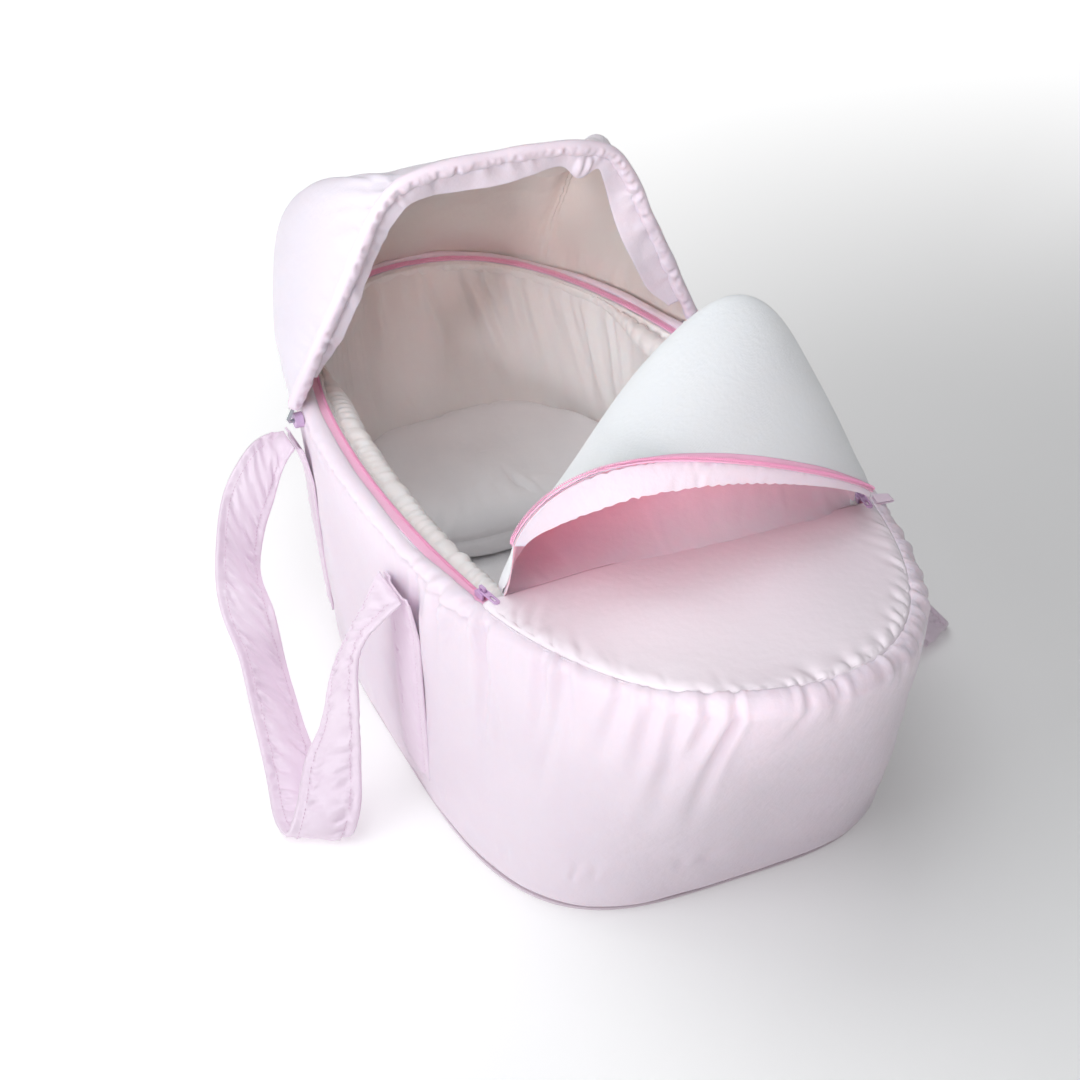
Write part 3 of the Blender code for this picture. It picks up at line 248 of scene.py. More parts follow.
# The satin inside the thrown-back cover, the same pale satin as the foot panel: its rose colour is painted shade and
# painted bounced light from under the fold, and the subsurface lets some light through both its layers
painted_rose_shade_satin = cloth("cover_satin_painted_rose_shade", "#FAB9CA", "#F6AEC1", 0.0008, 0.00002, 0.0003, (0.5, 0.15, 0.35), through=0.45,
                   glow=0.4, root="#F6E4ED")
# Quilted strap satin, shinier because it is pulled over wadding
strap_satin = cloth("quilted_satin", "#F5E4F1", "#F0DCED", 0.0008, 0.00002, 0.0007, (0.36, 0.15, 0.3, 0.6))
# Thin gathered cotton voile
voile = cloth("cotton_voile", "#F5F0EF", "#EFE8E6", 0.0009, 0.00003, 0.0005, (0.75, 0.15, 0.5), through=0.4)
# Sheer polyester lining of the hood, warmer because the light comes through it
sheer = cloth("sheer_lining", "#F6E6DF", "#F1DDD4", 0.0009, 0.00002, 0.0008, (0.6, 0.2, 0.4), 0.02, through=0.6)
# Brushed polyester knit: matt, with a fine nap
brushed = cloth("brushed_knit", "#FBFDFF", "#F4F8FB", 0.0012, 0.00008, 0.0004, (0.85, 0.45, 0.6), 0.004, through=0.6,
                glow=0.9)
# Cotton jersey of the mattress and pillow
jersey = cloth("cotton_jersey", "#F3F1F2", "#E9E7E9", 0.0011, 0.00006, 0.0006, (0.8, 0.2, 0.5), 0.012)
# Spun-bonded base cloth, sewn to the shell's lower edge
base_cloth = cloth("spunbond_base", "#EFE3EA", "#E6D8E1", 0.0016, 0.00010, 0.0003, (0.8, 0.1))
# Woven polyester zip tape, dyed a strong pink
zip_tape = cloth("zip_tape_twill", "#FFC9E3", "#FDBEDD", 0.0007, 0.00010, 0.0001, (0.6, 0.2, 0.4))

# %% [markdown]
# ### Zip coil, slider and hardware
#
# The coil is nylon monofilament, smooth and a little glossy. The slider and its pull are die-cast zinc under lilac
# lacquer: a clear gloss over an even colour, with the faint orange-peel that dipping leaves. The bow is bare spring
# steel, and its pins turn in moulded lilac plastic.


# %% Hard material
def hard(name, lit, shade, grain, depth, settings):
    """Moulded, lacquered or drawn surface with a fine grain in metres."""
    made, tree, shader = new_material(name, settings)
    place = add_node(tree, "ShaderNodeTexCoord")
    mottle = add_node(tree, "ShaderNodeTexNoise", {"Scale": 1 / grain, "Detail": 2.0}, {"Vector": (place, "Object")})
    colour = add_node(tree, "ShaderNodeMix", {"data_type": "RGBA", 6: linear(lit), 7: linear(shade)},
                      {0: (mottle, "Fac")})
    tree.links.new(colour.outputs[2], shader.inputs["Base Color"])
    bump = add_node(tree, "ShaderNodeBump", {"Distance": depth, "Strength": 1.0}, {"Height": (mottle, "Fac")})
    tree.links.new(bump.outputs["Normal"], shader.inputs["Normal"])
    return made


# %% Hard materials of the bassinet
coil_nylon = hard("nylon_coil", "#FFBBDC", "#FCAED4", 0.002, 0.00002, {"Roughness": 0.35, "IOR": 1.53})
lacquer = hard("lilac_lacquer", "#D9B6DC", "#CFA8D4", 0.0025, 0.00001,
               {"Roughness": 0.28, "Coat Weight": 0.6, "Coat Roughness": 0.12})
plastic = hard("moulded_plastic", "#D8BCDD", "#CFAFD6", 0.004, 0.00002, {"Roughness": 0.4, "IOR": 1.49})
steel = hard("spring_steel", "#B9BCC2", "#A6AAB1", 0.003, 0.00001, {"Roughness": 0.3, "Metallic": 1.0})
fibre_board = hard("pressed_fibre_board", "#B79A78", "#A3875F", 0.006, 0.00012, {"Roughness": 0.85})
thread = hard("sewing_thread", "#EBCDE1", "#DFBBD5", 0.0006, 0.00005, {"Roughness": 0.5, "Sheen Weight": 0.3})

# %% [markdown]
# ## The basket's outline
#
# The basket is round in plan, like a stretched circle that is slightly squared, and it narrows towards the base. The
# same few formulas that shaped the solids shape the cloth here, so every piece lands where the frame says. They work
# on whole arrays at once, which keeps a mesh of fifty thousand points quick.

# %% Sizes
RIM_LENGTH, RIM_WIDTH, RIM_POWER = 0.820, 0.400, 2.3
BASE_LENGTH, BASE_WIDTH, BASE_POWER, BASE_SHIFT, WALL_SWELL = 0.5414, 0.3771, 3.65, -0.0361, 1.05
RIM_HEIGHT, RIM_SLOPE, SHOULDER = 0.2444, -0.0245, 0.012
COVER_LINE_Y, HEAD_RISE_Y = -0.197, 0.150
TAU = 2 * math.pi


# %% Curves
def mix(a, b, share):
    return a + (b - a) * share


def smooth(value):
    """Ease from nothing to one, flat at both ends."""
    value = np.clip(value, 0, 1)
    return value * value * (3 - 2 * value)


def arch(share):
    return np.clip(np.sin(np.pi * share), 0, None)


def bell(value, width):
    return np.exp(-((value / width) ** 2))


def quarter(value):
    """A quarter circle's height at shares of its radius."""
    return np.sqrt(np.clip(1 - np.clip(1 - value, 0, 1) ** 2, 0, 1))


def power_wave(value, power):
    return np.sign(value) * np.abs(value) ** (2 / power)


# %% Outline
def rim_height(y):
    """Height of the rim line: straight along the sides, with both ends lifting."""
    foot = np.clip((-0.200 - y) / 0.210, 0, None)
    head = np.clip((y - HEAD_RISE_Y) / 0.260, 0, None)
    return RIM_HEIGHT + RIM_SLOPE * y + 0.0085 * (foot**2 + head**2)


def outline(angle, share, inset):
    """Plan position on the wall at a share of its height, an inset inside the outer face."""
    swell = share**WALL_SWELL
    power = mix(BASE_POWER, RIM_POWER, swell)
    x = (mix(BASE_WIDTH, RIM_WIDTH, swell) / 2 - inset) * power_wave(np.cos(angle), power)
    y = (mix(BASE_LENGTH, RIM_LENGTH, swell) / 2 - inset) * power_wave(np.sin(angle), power)
    return x, mix(BASE_SHIFT, 0, swell) + y


def wall_point(angle, share, inset):
    """Point in the wall below its shoulder."""
    x, y = outline(angle, share, inset)
    return np.stack([x, y, share * mix(RIM_HEIGHT - SHOULDER, rim_height(y) - SHOULDER, share)], -1)


def rim_point(angle, inset, drop):
    """Point of the rim, an inset inside the wall's outer face and a drop below the rim line."""
    x, y = outline(angle, 1.0, inset)
    return np.stack([x, y, rim_height(y) - drop], -1)


def share_at(height):
    return height / (RIM_HEIGHT - SHOULDER)


# %% Even steps round the rim
fine_turn = np.linspace(0, TAU, 8001)
fine_rim = np.stack(outline(fine_turn, 1.0, 0), -1)
fine_length = np.concatenate([[0], np.cumsum(np.linalg.norm(np.diff(fine_rim, axis=0), axis=1))])
RIM_ROUND = float(fine_length[-1])


def even_turns(count):
    """Angles that divide the rim into equal lengths, with the first repeated at the end, and those lengths."""
    length = np.linspace(0, RIM_ROUND, count + 1)
    return np.interp(length, fine_length, fine_turn), length


def side_angle(y, inset, share=1.0):
    """Angle on the right-hand side at which an outline reaches y."""
    turn = np.linspace(-math.pi / 2, math.pi / 2, 4001)
    return float(np.interp(y, outline(turn, share, inset)[1], turn))


print("rim length round the basket: %.3f m" % RIM_ROUND)

# %% [markdown]
# ## Cloth helpers
#
# Each cloth piece starts as a grid primitive, whose points are then moved to their places. The UV map is written in
# metres along and across the cloth, so thread spacings come out at their real size on every piece.


# %% Grid pieces
def grid_piece(name, points, s, t, flip=False):
    """Mesh from rows x columns x 3 points, with a UV map of the metres s along and t across the cloth."""
    rows, columns = points.shape[:2]
    deselect()
    bpy.ops.mesh.primitive_grid_add(x_subdivisions=columns - 1, y_subdivisions=rows - 1, size=1)
    piece = bpy.context.object
    piece.name = name
    mesh = piece.data
    mesh.vertices.foreach_set("co", points.astype(np.float32).ravel())
    corner = np.empty(len(mesh.loops), np.int32)
    mesh.loops.foreach_get("vertex_index", corner)
    flat = np.stack(np.broadcast_arrays(s, t, points[..., 0])[:2], -1).reshape(-1, 2)
    mesh.uv_layers.active.data.foreach_set("uv", flat[corner].astype(np.float32).ravel())
    bpy.ops.object.mode_set(mode="EDIT")
    bpy.ops.mesh.select_all(action="SELECT")
    bpy.ops.mesh.remove_doubles(threshold=0.000005)
    if flip:
        bpy.ops.mesh.flip_normals()
    bpy.ops.object.mode_set(mode="OBJECT")
    bpy.ops.object.shade_smooth()
    return piece


# %% Finishing a piece
def apply_modifier(piece, kind, **settings):
    """Add a modifier, set it and apply it."""
    deselect()
    piece.select_set(True)
    bpy.context.view_layer.objects.active = piece
    modifier = piece.modifiers.new(kind.lower(), kind)
    for key, value in settings.items():
        setattr(modifier, key, value)
    bpy.ops.object.modifier_apply(modifier=modifier.name)


def finish(piece, material, body, slot, *nodes, fill=None):
    """Give a piece its material, its body and the nodes that it stands for, which are hidden; slot is not used."""
    piece.data.materials.clear()
    piece.data.materials.append(material)
    if body:
        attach(piece, body)
    if nodes:
        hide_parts(*nodes)
    print(piece.name, len(piece.data.polygons), "faces")


def sheet_piece(name, points, s, t, thick, material, body, slot, node, offset=-1, flip=False):
    """Thin cloth: a grid with a thickness, to its back (offset -1) or to both sides (0)."""
    piece = grid_piece(name, points, s, t, flip)
    apply_modifier(piece, "SOLIDIFY", thickness=thick, offset=offset)
    finish(piece, material, body, slot, node)
    return piece


# %% [markdown]
# Folds are the main thing. Where cloth is gathered into a seam it makes short valleys that start at the stitches,
# widen and fade. Each fold here has a start, a direction, a length, a width and a depth, and a ridge on both sides.
# Slow waves, a sum of many weak cosines, give the soft unevenness of stuffed cloth.

# %% Directions and lengths
def unit(v):
    return v / np.maximum(np.linalg.norm(v, axis=-1, keepdims=True), 1e-12)


def grid_normals(points, wrap=False):
    """Unit normals of a grid of points, columns wrapped if the grid closes on itself."""
    if wrap:
        padded = np.concatenate([points[:, -2:-1], points, points[:, 1:2]], 1)
        across = (padded[:, 2:] - padded[:, :-2]) / 2
    else:
        across = np.gradient(points, axis=1)
    return unit(np.cross(across, np.gradient(points, axis=0)))


def path_length(points, axis=0):
    """Length along a grid of points from its first row or column."""
    step = np.linalg.norm(np.diff(points, axis=axis), axis=-1)
    return np.concatenate([np.zeros_like(step.take([0], axis)), np.cumsum(step, axis)], axis)


# %% Folds
AHEAD, BACK = math.pi / 2, -math.pi / 2


def folds(s, t, rows, period=None):
    """Height of the cloth from folds given as (s, t, direction, length, width, depth, bend)."""
    s, t = np.broadcast_arrays(s, t)
    height = np.zeros(s.shape)
    for s0, t0, direction, length, width, depth, bend in rows:
        ds, dt = s - s0, t - t0
        if period:
            ds = (ds + period / 2) % period - period / 2
        along = ds * math.cos(direction) + dt * math.sin(direction)
        near = (along > -0.15 * length) & (along < length) & (np.abs(ds) + np.abs(dt) < 2.2 * length)
        if not near.any():
            continue
        reach = along[near] / length
        across = -ds[near] * math.sin(direction) + dt[near] * math.cos(direction) - bend * length * reach**2
        wide = width * (1 + 1.8 * np.clip(reach, 0, 1))
        fade = smooth(1 - reach) * smooth((reach + 0.15) / 0.22)
        ridges = bell(np.abs(across) / wide - 2.0, 1)
        height[near] += depth * fade * (0.28 * ridges - bell(across, wide))
    return height


# %% Gathers along a seam
def gathers(*seams):
    """Random folds that start along seams.

    A seam is a seed, a count, its ends along s, its place in t, the folds' direction and spread, and then their least
    and most length, width and depth in millimetres.
    """
    rows = []
    for seed, count, low, high, start, direction, spread, *sizes in seams:
        pick = np.random.default_rng(seed)
        length, width, depth = np.reshape(sizes, (3, 2)) / 1000
        for i in range(count):
            place = mix(low, high, (i + pick.uniform(-0.6, 1.6)) / count)
            lean = direction + pick.uniform(-spread, spread)
            rows.append((place, start, lean, pick.uniform(*length), pick.uniform(*width), pick.uniform(*depth),
                         pick.uniform(-0.15, 0.15)))
    return rows


# %% Waves
def waves(points, size, amount, seed, count=18):
    """Slow random waves of a size and amount in metres, over points in space."""
    pick = np.random.default_rng(seed)
    height = np.zeros(points.shape[:-1])
    for _ in range(count):
        direction, phase = unit(pick.normal(size=3)), pick.uniform(0, TAU)
        height += np.cos(points @ direction * TAU / (size * pick.uniform(0.6, 1.7)) + phase)
    return height * amount / math.sqrt(count)


# %% [markdown]
# ## Base cloth
#
# A flat cloth closes the underside. It is cut to the outline of the base, so it is modelled from a circle: its points
# are moved to the outline, a border is inset where the seam runs, the sheet is extruded to its thickness and its
# edges are bevelled soft.

# %% Base cloth
BASE_POINTS, BASE_THICK = 160, 0.0026
turn, _ = even_turns(BASE_POINTS)
deselect()
bpy.ops.mesh.primitive_circle_add(vertices=BASE_POINTS, radius=1, fill_type="NGON")
base = bpy.context.object
base.name = "base_cloth"
for vert, spot in zip(base.data.vertices, wall_point(turn[:-1], 0.0, 0.003)):
    vert.co = spot
bpy.ops.object.mode_set(mode="EDIT")
bpy.ops.mesh.select_all(action="SELECT")
bpy.ops.mesh.inset(thickness=0.010, depth=0)
bpy.ops.mesh.inset(thickness=0.002, depth=0.0008)
bpy.ops.mesh.select_all(action="SELECT")
bpy.ops.mesh.extrude_region_move(TRANSFORM_OT_translate={"value": (0, 0, BASE_THICK)})
bpy.ops.mesh.select_all(action="SELECT")
bpy.ops.mesh.normals_make_consistent(inside=False)
bpy.ops.object.mode_set(mode="OBJECT")
apply_modifier(base, "BEVEL", width=0.0008, segments=2, limit_method="ANGLE")
finish(base, base_cloth, "basket", "base_cloth", "base_fabric")

# %% [markdown]
# ## Padded shell
#
# The wall is satin over 20 mm of wadding. It stands up from a soft round edge at the base, swells over the shoulder
# and dives under the zip tape. At the foot end the satin is gathered into the cover's seam: dozens of short folds
# start at the stitches and fade down the wall. Along the sides a second seam holds a padded binding beside the zip.
#
# The whole shell is one closed ring of cloth. It is laid out as a grid, one row for each step of its section, and
# the folds are pressed in along its normals.

# %% Shell section
BASE_SEAM, BASE_ROUND = 0.0034, 0.011
turn, rim_length = even_turns(660)
rows = [wall_point(turn, share_at(0.0036), 0.024), wall_point(turn, share_at(BASE_SEAM), 0.017)]
for bend in np.linspace(0, math.pi / 2, 7):
    lift = BASE_SEAM + BASE_ROUND * (1 - math.cos(bend))
    rows.append(wall_point(turn, share_at(lift), BASE_ROUND * (1 - math.sin(bend))))
for share in np.linspace(share_at(0.0175), 1, 62):
    rows.append(wall_point(turn, share, 0))
for bend in np.linspace(0, math.pi / 2, 15)[1:]:
    rows.append(rim_point(turn, SHOULDER * (1 - math.cos(bend)), SHOULDER * (1 - math.sin(bend))))
top = len(rows) - 1
for inset, drop in ((0.0128, 0.0004), (0.0135, 0.0013), (0.0140, 0.0026), (0.0150, 0.0034), (0.0228, 0.0036)):
    rows.append(rim_point(turn, inset, drop))
for share in (0.97, 0.8, 0.6, 0.4, 0.2, 0.06):
    rows.append(wall_point(turn, share, 0.0232))
wall = np.array(rows + rows[:1])
t = path_length(wall)
t_top = t[top]
print("shell section: %.3f m up the side" % t_top.mean())

# %% Shell folds
BINDING = -0.0195
foot = smooth((-0.185 - wall[top, :, 1]) / 0.02)
corner = side_angle(COVER_LINE_Y, 0)
foot_start, foot_end = (float(np.interp(angle, turn, rim_length)) for angle in (math.pi - corner, TAU + corner))
foot_left, foot_right = mix(foot_start, foot_end, 0.42), mix(foot_start, foot_end, 0.66)
print("foot seam from %.3f to %.3f m along the rim" % (foot_start, foot_end))
rows = gathers(
    (11, 120, foot_start, foot_end, 0.0, BACK, 0.20, 10, 32, 1, 1.7, 0.6, 1.7),
    (12, 22, foot_start, foot_end, 0.002, BACK, 0.22, 30, 75, 1.5, 2.7, 1.8, 4),
    (13, 11, foot_start - 0.02, foot_left, 0.0, BACK, 0.20, 100, 190, 2.4, 4.2, 3.6, 7),
    (19, 9, foot_right, foot_end, 0.0, BACK, 0.25, 50, 120, 2.2, 4, 2.2, 4.2),
    (20, 8, foot_start - 0.09, foot_start, -0.012, BACK - 0.45, 0.22, 70, 150, 2.6, 4.6, 2.6, 5),
    (21, 26, foot_end - 0.13, foot_end - 0.01, 0.0, BACK + 0.40, 0.12, 20, 50, 1.2, 2, 1.2, 2.6),
    (14, 150, 0.0, foot_start, BINDING, BACK, 0.35, 10, 28, 1.5, 2.8, 0.6, 1.5),
    (15, 150, 0.0, foot_start, BINDING, AHEAD, 0.35, 8, 17, 1.5, 2.6, 0.6, 1.4),
    (16, 26, foot_end, RIM_ROUND, BINDING, BACK, 0.35, 10, 28, 1.5, 2.8, 0.6, 1.5),
    (17, 26, foot_end, RIM_ROUND, BINDING, AHEAD, 0.35, 8, 17, 1.5, 2.6, 0.6, 1.4),
    (18, 46, 0.0, RIM_ROUND, -0.226, AHEAD, 0.35, 20, 50, 3, 5, 0.6, 1.4),
)
height = folds(rim_length, t - t_top, rows, RIM_ROUND)
limit = mix(0.0012, 0.0075, smooth((np.abs(t - t_top) - 0.001) / 0.026))
height = limit * np.tanh(height / limit)
height -= 0.0022 * bell(t - t_top - BINDING, 0.0022) * (1 - foot)
height += 0.0012 * (1 - foot) * arch(np.clip((t - t_top - BINDING) / 0.019, 0, 1))
height += waves(wall, 0.16, 0.0016, 3) * smooth((t - 0.02) / 0.05) + waves(wall, 0.05, 0.0005, 4)
outside = smooth((t - 0.010) / 0.02) * smooth((t_top + 0.0035 - t) / 0.003)
wall = wall + grid_normals(wall, wrap=True) * (height * outside)[..., None]
shell = grid_piece("padded_shell", wall, rim_length, t)
finish(shell, satin, "basket", "satin", "outer_cover", "wall_padding", fill=0.8)

# %% [markdown]
# ## Zip line
#
# A zip runs from the left corner of the foot cover, along the side, round the head and back. Each long side follows
# an arc, so that the slider can run along it, and the head follows the rim. The line is sampled once and used for
# the tape and the coil.

# %% Arc of the side zips
COIL_INSET, COIL_THICK, TAPE_WIDTH, TAPE_DROP = 0.0205, 0.0024, 0.0092, 0.0015
STRETCH = math.hypot(1, RIM_SLOPE)
UP = np.array([0, -RIM_SLOPE, 1]) / STRETCH


def side_arc():
    """Centre and radius of the right side's zip line, in the plane of the side rim."""
    ys = np.array([COVER_LINE_Y, (COVER_LINE_Y + HEAD_RISE_Y) / 2, HEAD_RISE_Y])
    xs = np.array([outline(side_angle(y, COIL_INSET), 1.0, COIL_INSET)[0] for y in ys])
    ys = ys * STRETCH
    centre = np.linalg.solve(np.stack([np.diff(xs), np.diff(ys)], 1), (np.diff(xs**2) + np.diff(ys**2)) / 2)
    return centre, float(np.hypot(xs[0] - centre[0], ys[0] - centre[1]))


ARC_CENTRE, ARC_RADIUS = side_arc()
print("side zip: an arc of %.2f m radius" % ARC_RADIUS)


# %% Zip line
def side_zip(y, side):
    """Points and outward directions of the zip line on one side."""
    along = y * STRETCH - ARC_CENTRE[1]
    across = np.sqrt(ARC_RADIUS**2 - along**2)
    point = np.stack([side * (ARC_CENTRE[0] + across), y, RIM_HEIGHT + RIM_SLOPE * y], -1)
    outward = np.stack([side * across, along / STRETCH, along * RIM_SLOPE / STRETCH], -1) / ARC_RADIUS
    return point, outward


def even_line(spacing, points, *directions):
    """A line at an even spacing, with the unit directions that belong to its points."""
    length = path_length(points)
    place = np.linspace(0, length[-1], int(length[-1] / spacing) + 1)
    even, *turned = (np.stack([np.interp(place, length, v[:, i]) for i in range(3)], -1)
                     for v in (points, *directions))
    return even, *map(unit, turned)


ys = np.linspace(COVER_LINE_Y, HEAD_RISE_Y, 60)
left, left_out = side_zip(ys, -1)
right, right_out = side_zip(ys[::-1], 1)
start = side_angle(HEAD_RISE_Y, COIL_INSET)
round_head = np.linspace(math.pi - start, start, 160)[1:-1]
head = rim_point(round_head, COIL_INSET, 0)
head_out = unit((rim_point(round_head, 0, 0) - rim_point(round_head, 2 * COIL_INSET, 0)) * [1, 1, 0])
zip_line, zip_out = even_line(0.003, np.concatenate([left, head, right]),
                              np.concatenate([left_out, head_out, right_out]))
zip_up = np.broadcast_to(UP, zip_line.shape)
print("zip line: %.3f m" % path_length(zip_line)[-1])

# %% [markdown]
# ## Zip tape and coil
#
# The tape is a narrow woven band, sewn down along its outer edge, so it ripples a little between the stitches. The
# coil is one long plastic spiral sewn along its inner edge. It is modelled as it is made: a thin rod wound round the
# zip line at a pitch of 1.6 mm, with a five-sided section, because there are nearly a thousand turns.

# %% Zip tape
TAPE_THICK = 0.0010


def tape_strip(name, middle, across, up, low, high, body, node):
    """Band of woven tape that lies across a line, from one offset to another, with a rippled edge."""
    share = np.linspace(0, 1, 9)[:, None]
    along = path_length(middle)
    reach = mix(low, high, share) + 0 * along
    points = middle + across * reach[..., None]
    ripple = 0.00022 * np.sin(along * TAU / 0.007 + 1.3 * np.sin(along * 40)) * share
    points = points + up * (ripple + waves(points, 0.03, 0.00025, 21))[..., None]
    return sheet_piece(name, points, along, reach, TAPE_THICK, zip_tape, body, "zip_tape", node, offset=0)


tape = tape_strip("rim_zip_band", zip_line - UP * (TAPE_DROP + 0.0006), zip_out, zip_up, -COIL_THICK / 2 - 0.0005,
                  TAPE_WIDTH - COIL_THICK / 2, "basket", "rim_zip_tape")
float(path_length(zip_line)[-1])

# %% Zip coil
PITCH, WIRE, WIRE_SIDES, TURN_STEPS = 0.0016, 0.00036, 5, 9


def coil_piece(name, middle, across, up, body, node):
    """Spiral of a zip, wound round a line."""
    length = float(path_length(middle)[-1])
    turns = int(length / PITCH)
    middle, across, up = even_line(length / (turns * TURN_STEPS), middle, across, up)
    wind = np.arange(len(middle))[:, None] * TAU / TURN_STEPS
    radial = across * np.cos(wind) + up * np.sin(wind)
    points = middle + radial * (COIL_THICK / 2 - WIRE)
    side = unit(np.cross(np.gradient(points, axis=0), radial))
    ring = np.linspace(0, TAU, WIRE_SIDES + 1)[None, :, None]
    tube = points[:, None] + (radial[:, None] * np.cos(ring) + side[:, None] * np.sin(ring)) * WIRE
    tube[0], tube[-1] = points[0], points[-1]
    piece = grid_piece(name, tube, path_length(tube, 1), path_length(tube))
    finish(piece, coil_nylon, body, "zip_coil", node)


coil_piece("rim_zip_spiral", zip_line, zip_out, zip_up, "basket", "rim_zip_coil")

# %% [markdown]
# ## Liner
#
# The liner is thin off-white cotton, cut longer than the wall and gathered to it, so it hangs in soft upright folds
# from the zip down to the mattress. Its top is stuffed with wadding into a puffy roll along both sides; at the head
# the roll flattens and the cloth hangs straight.

# %% Liner
turn, rim_length = even_turns(620)
rows = [rim_point(turn, inset, drop) for inset, drop in ((0.0226, 0.0034), (0.0236, 0.0030), (0.0246, 0.0042))]
for share in np.linspace(0.965, share_at(0.0069), 66):
    rows.append(wall_point(turn, share, mix(0.0250, 0.0262, min(1, (0.965 - share) / 0.2))))
centre, edge = np.array([0, BASE_SHIFT, 0]), rows[-1]
for scale in (0.97, 0.75, 0.5, 0.25, 0.0):
    rows.append(mix(centre, edge, np.array([scale, scale, 1])))
hang = np.array(rows)
t = path_length(hang)
rows = gathers(
    (31, 84, 0, RIM_ROUND, 0.0, AHEAD, 0.08, 120, 230, 3, 5.8, -6, -2.6),
    (30, 60, 0, RIM_ROUND, 0.0, AHEAD, 0.10, 80, 200, 2.4, 4.5, 2, 4.2),
    (32, 130, 0, RIM_ROUND, 0.0, AHEAD, 0.14, 30, 90, 2, 4, 1.4, 3),
    (33, 60, 0, RIM_ROUND, 0.19, BACK, 0.20, 40, 120, 3, 6, 1.2, 3),
)
upright = smooth(t / 0.012) * smooth((0.225 - t) / 0.02)
height = folds(rim_length, t, rows, RIM_ROUND) * upright + waves(hang, 0.07, 0.0012, 34) * upright
room = mix(0.0035, 0.0075, smooth((hang[..., 2] - 0.135) / 0.03))
hang = hang + grid_normals(hang, wrap=True) * (np.clip(height, -0.0035, room) + 0.0030 * upright)[..., None]
liner = grid_piece("gathered_liner", hang, rim_length, t)
finish(liner, voile, "basket", "liner", "inner_liner")

# %% Liner roll
turn, rim_length = even_turns(1200)
round_turn = rim_length * TAU / RIM_ROUND
puffy = 1 - smooth((rim_point(turn, 0.024, 0)[:, 1] - 0.165) / 0.09)
beat = rim_length / 0.0125 + 1.3 * np.sin(round_turn * 3) + 0.7 * np.sin(round_turn * 17)
scallop = np.abs(np.sin(math.pi * beat * round(beat[-1]) / beat[-1])) ** 0.7
half_width = mix(0.0020, 0.0112, puffy) * mix(0.80, 1.06, scallop)
half_height = mix(0.0040, 0.0106, puffy) * mix(0.86, 1.05, scallop)
middle = 0.0245 + mix(0.0022, 0.0118, puffy)
rows = []
for bend in np.linspace(0, TAU, 31):
    squash = np.abs(np.cos(bend)) ** 0.85 * np.sign(np.cos(bend))
    drop = mix(0.0080, 0.0150, puffy) - half_height * math.sin(bend)
    share = np.minimum(1.0, 1 - (drop - SHOULDER) / (RIM_HEIGHT - SHOULDER))
    x, y = outline(turn, share, middle - half_width * squash)
    rows.append(np.stack([x, y, rim_height(y) - drop], -1))
roll = np.array(rows)
t = path_length(roll)
rows = gathers(
    (36, 150, 0, RIM_ROUND, 0.005, AHEAD, 0.35, 10, 26, 1.6, 3, 0.5, 1.4),
    (37, 110, 0, RIM_ROUND, 0.045, BACK, 0.35, 10, 26, 1.6, 3, 0.5, 1.3),
)
height = folds(rim_length, t, rows, RIM_ROUND) + waves(roll, 0.03, 0.0004, 38)
roll = roll + unit(roll - roll.mean(axis=0, keepdims=True)) * height[..., None]
roll[-1] = roll[0]
liner_roll = grid_piece("puffed_liner_roll", roll, rim_length, t, flip=True)
finish(liner_roll, voile, "basket", "liner", "liner_roll", fill=0.7)

# %% [markdown]
# ## Mattress and pillow
#
# The mattress is a flat foam pad in a jersey cover that fills the floor, with a seam round its top edge. The pillow
# is thick and soft: round where it meets the head end, straight across the front, and highest in its middle.
# Both are closed skins with a seam pressed in and small folds that start at it.


# %% Pads
def pad_piece(name, loops, s, seam_loop, seams, lumps, seed, node, fill):
    """Closed pad from loops of points that end in poles, with folds that start at its seam's loop, and soft lumps."""
    pad = np.array(loops)
    t = path_length(pad)
    seam_at = t[seam_loop].mean()
    rows = gathers(*((seed, count, 0, s[-1], seam_at, *rest) for seed, count, *rest in seams))
    height = folds(s, t, rows, float(s[-1])) + waves(pad, 0.09, lumps, seed)
    edge = smooth(t / 0.02) * smooth((t.max() - t) / 0.02)
    pad = pad + grid_normals(pad, wrap=True) * (height * edge)[..., None]
    finish(grid_piece(name, pad, s, t), jersey, "basket", "bedding", node, fill=fill)


def towards(loop, share, lift=0.0):
    """A loop drawn in towards its middle."""
    drawn = mix(loop.mean(axis=0), loop, share)
    drawn[:, 2] = loop[:, 2] + lift
    return drawn


# %% Mattress
BED_LOW, BED_THICK, BED_INSET = 0.0088, 0.062, 0.0302
BED_TOP = BED_LOW + BED_THICK
turn, rim_length = even_turns(400)
low = wall_point(turn, share_at(BED_LOW), BED_INSET + 0.004)
loops = [towards(low, share) for share in (0.0, 0.3, 0.6, 0.9)] + [low]
for high_mm, tuck_mm in ((9.5, 2), (12, 0.4), (16, 0), (30, 0), (45, 0), (56, 0), (61, 0.4), (64.5, 1.6), (66.2, 3.6),
                         (66, 5.2), (67.2, 6.6), (69.2, 9), (70.6, 13), (71.6, 19), (72.5, 27), (73.3, 40)):
    loops.append(wall_point(turn, share_at(high_mm / 1000), BED_INSET + tuck_mm / 1000))
last = loops[-1]
for share in np.linspace(0.95, 0, 34):
    loops.append(towards(last, share, 0.0006 * (1 - share)))
MATTRESS_SEAM = 14
seams = ((51, 130, AHEAD, 0.4, 12, 35, 2, 4, 0.4, 1),)
pad_piece("jersey_mattress", loops, rim_length, MATTRESS_SEAM, seams, 0.0011, 52, "mattress", 0.9)

# %% Pillow
PILLOW_Y, PILLOW_FOOT, PILLOW_THICK, PILLOW_POWER = 0.170, 0.075, 0.060, 4.5
PILLOW_LOW = BED_TOP + 0.0033


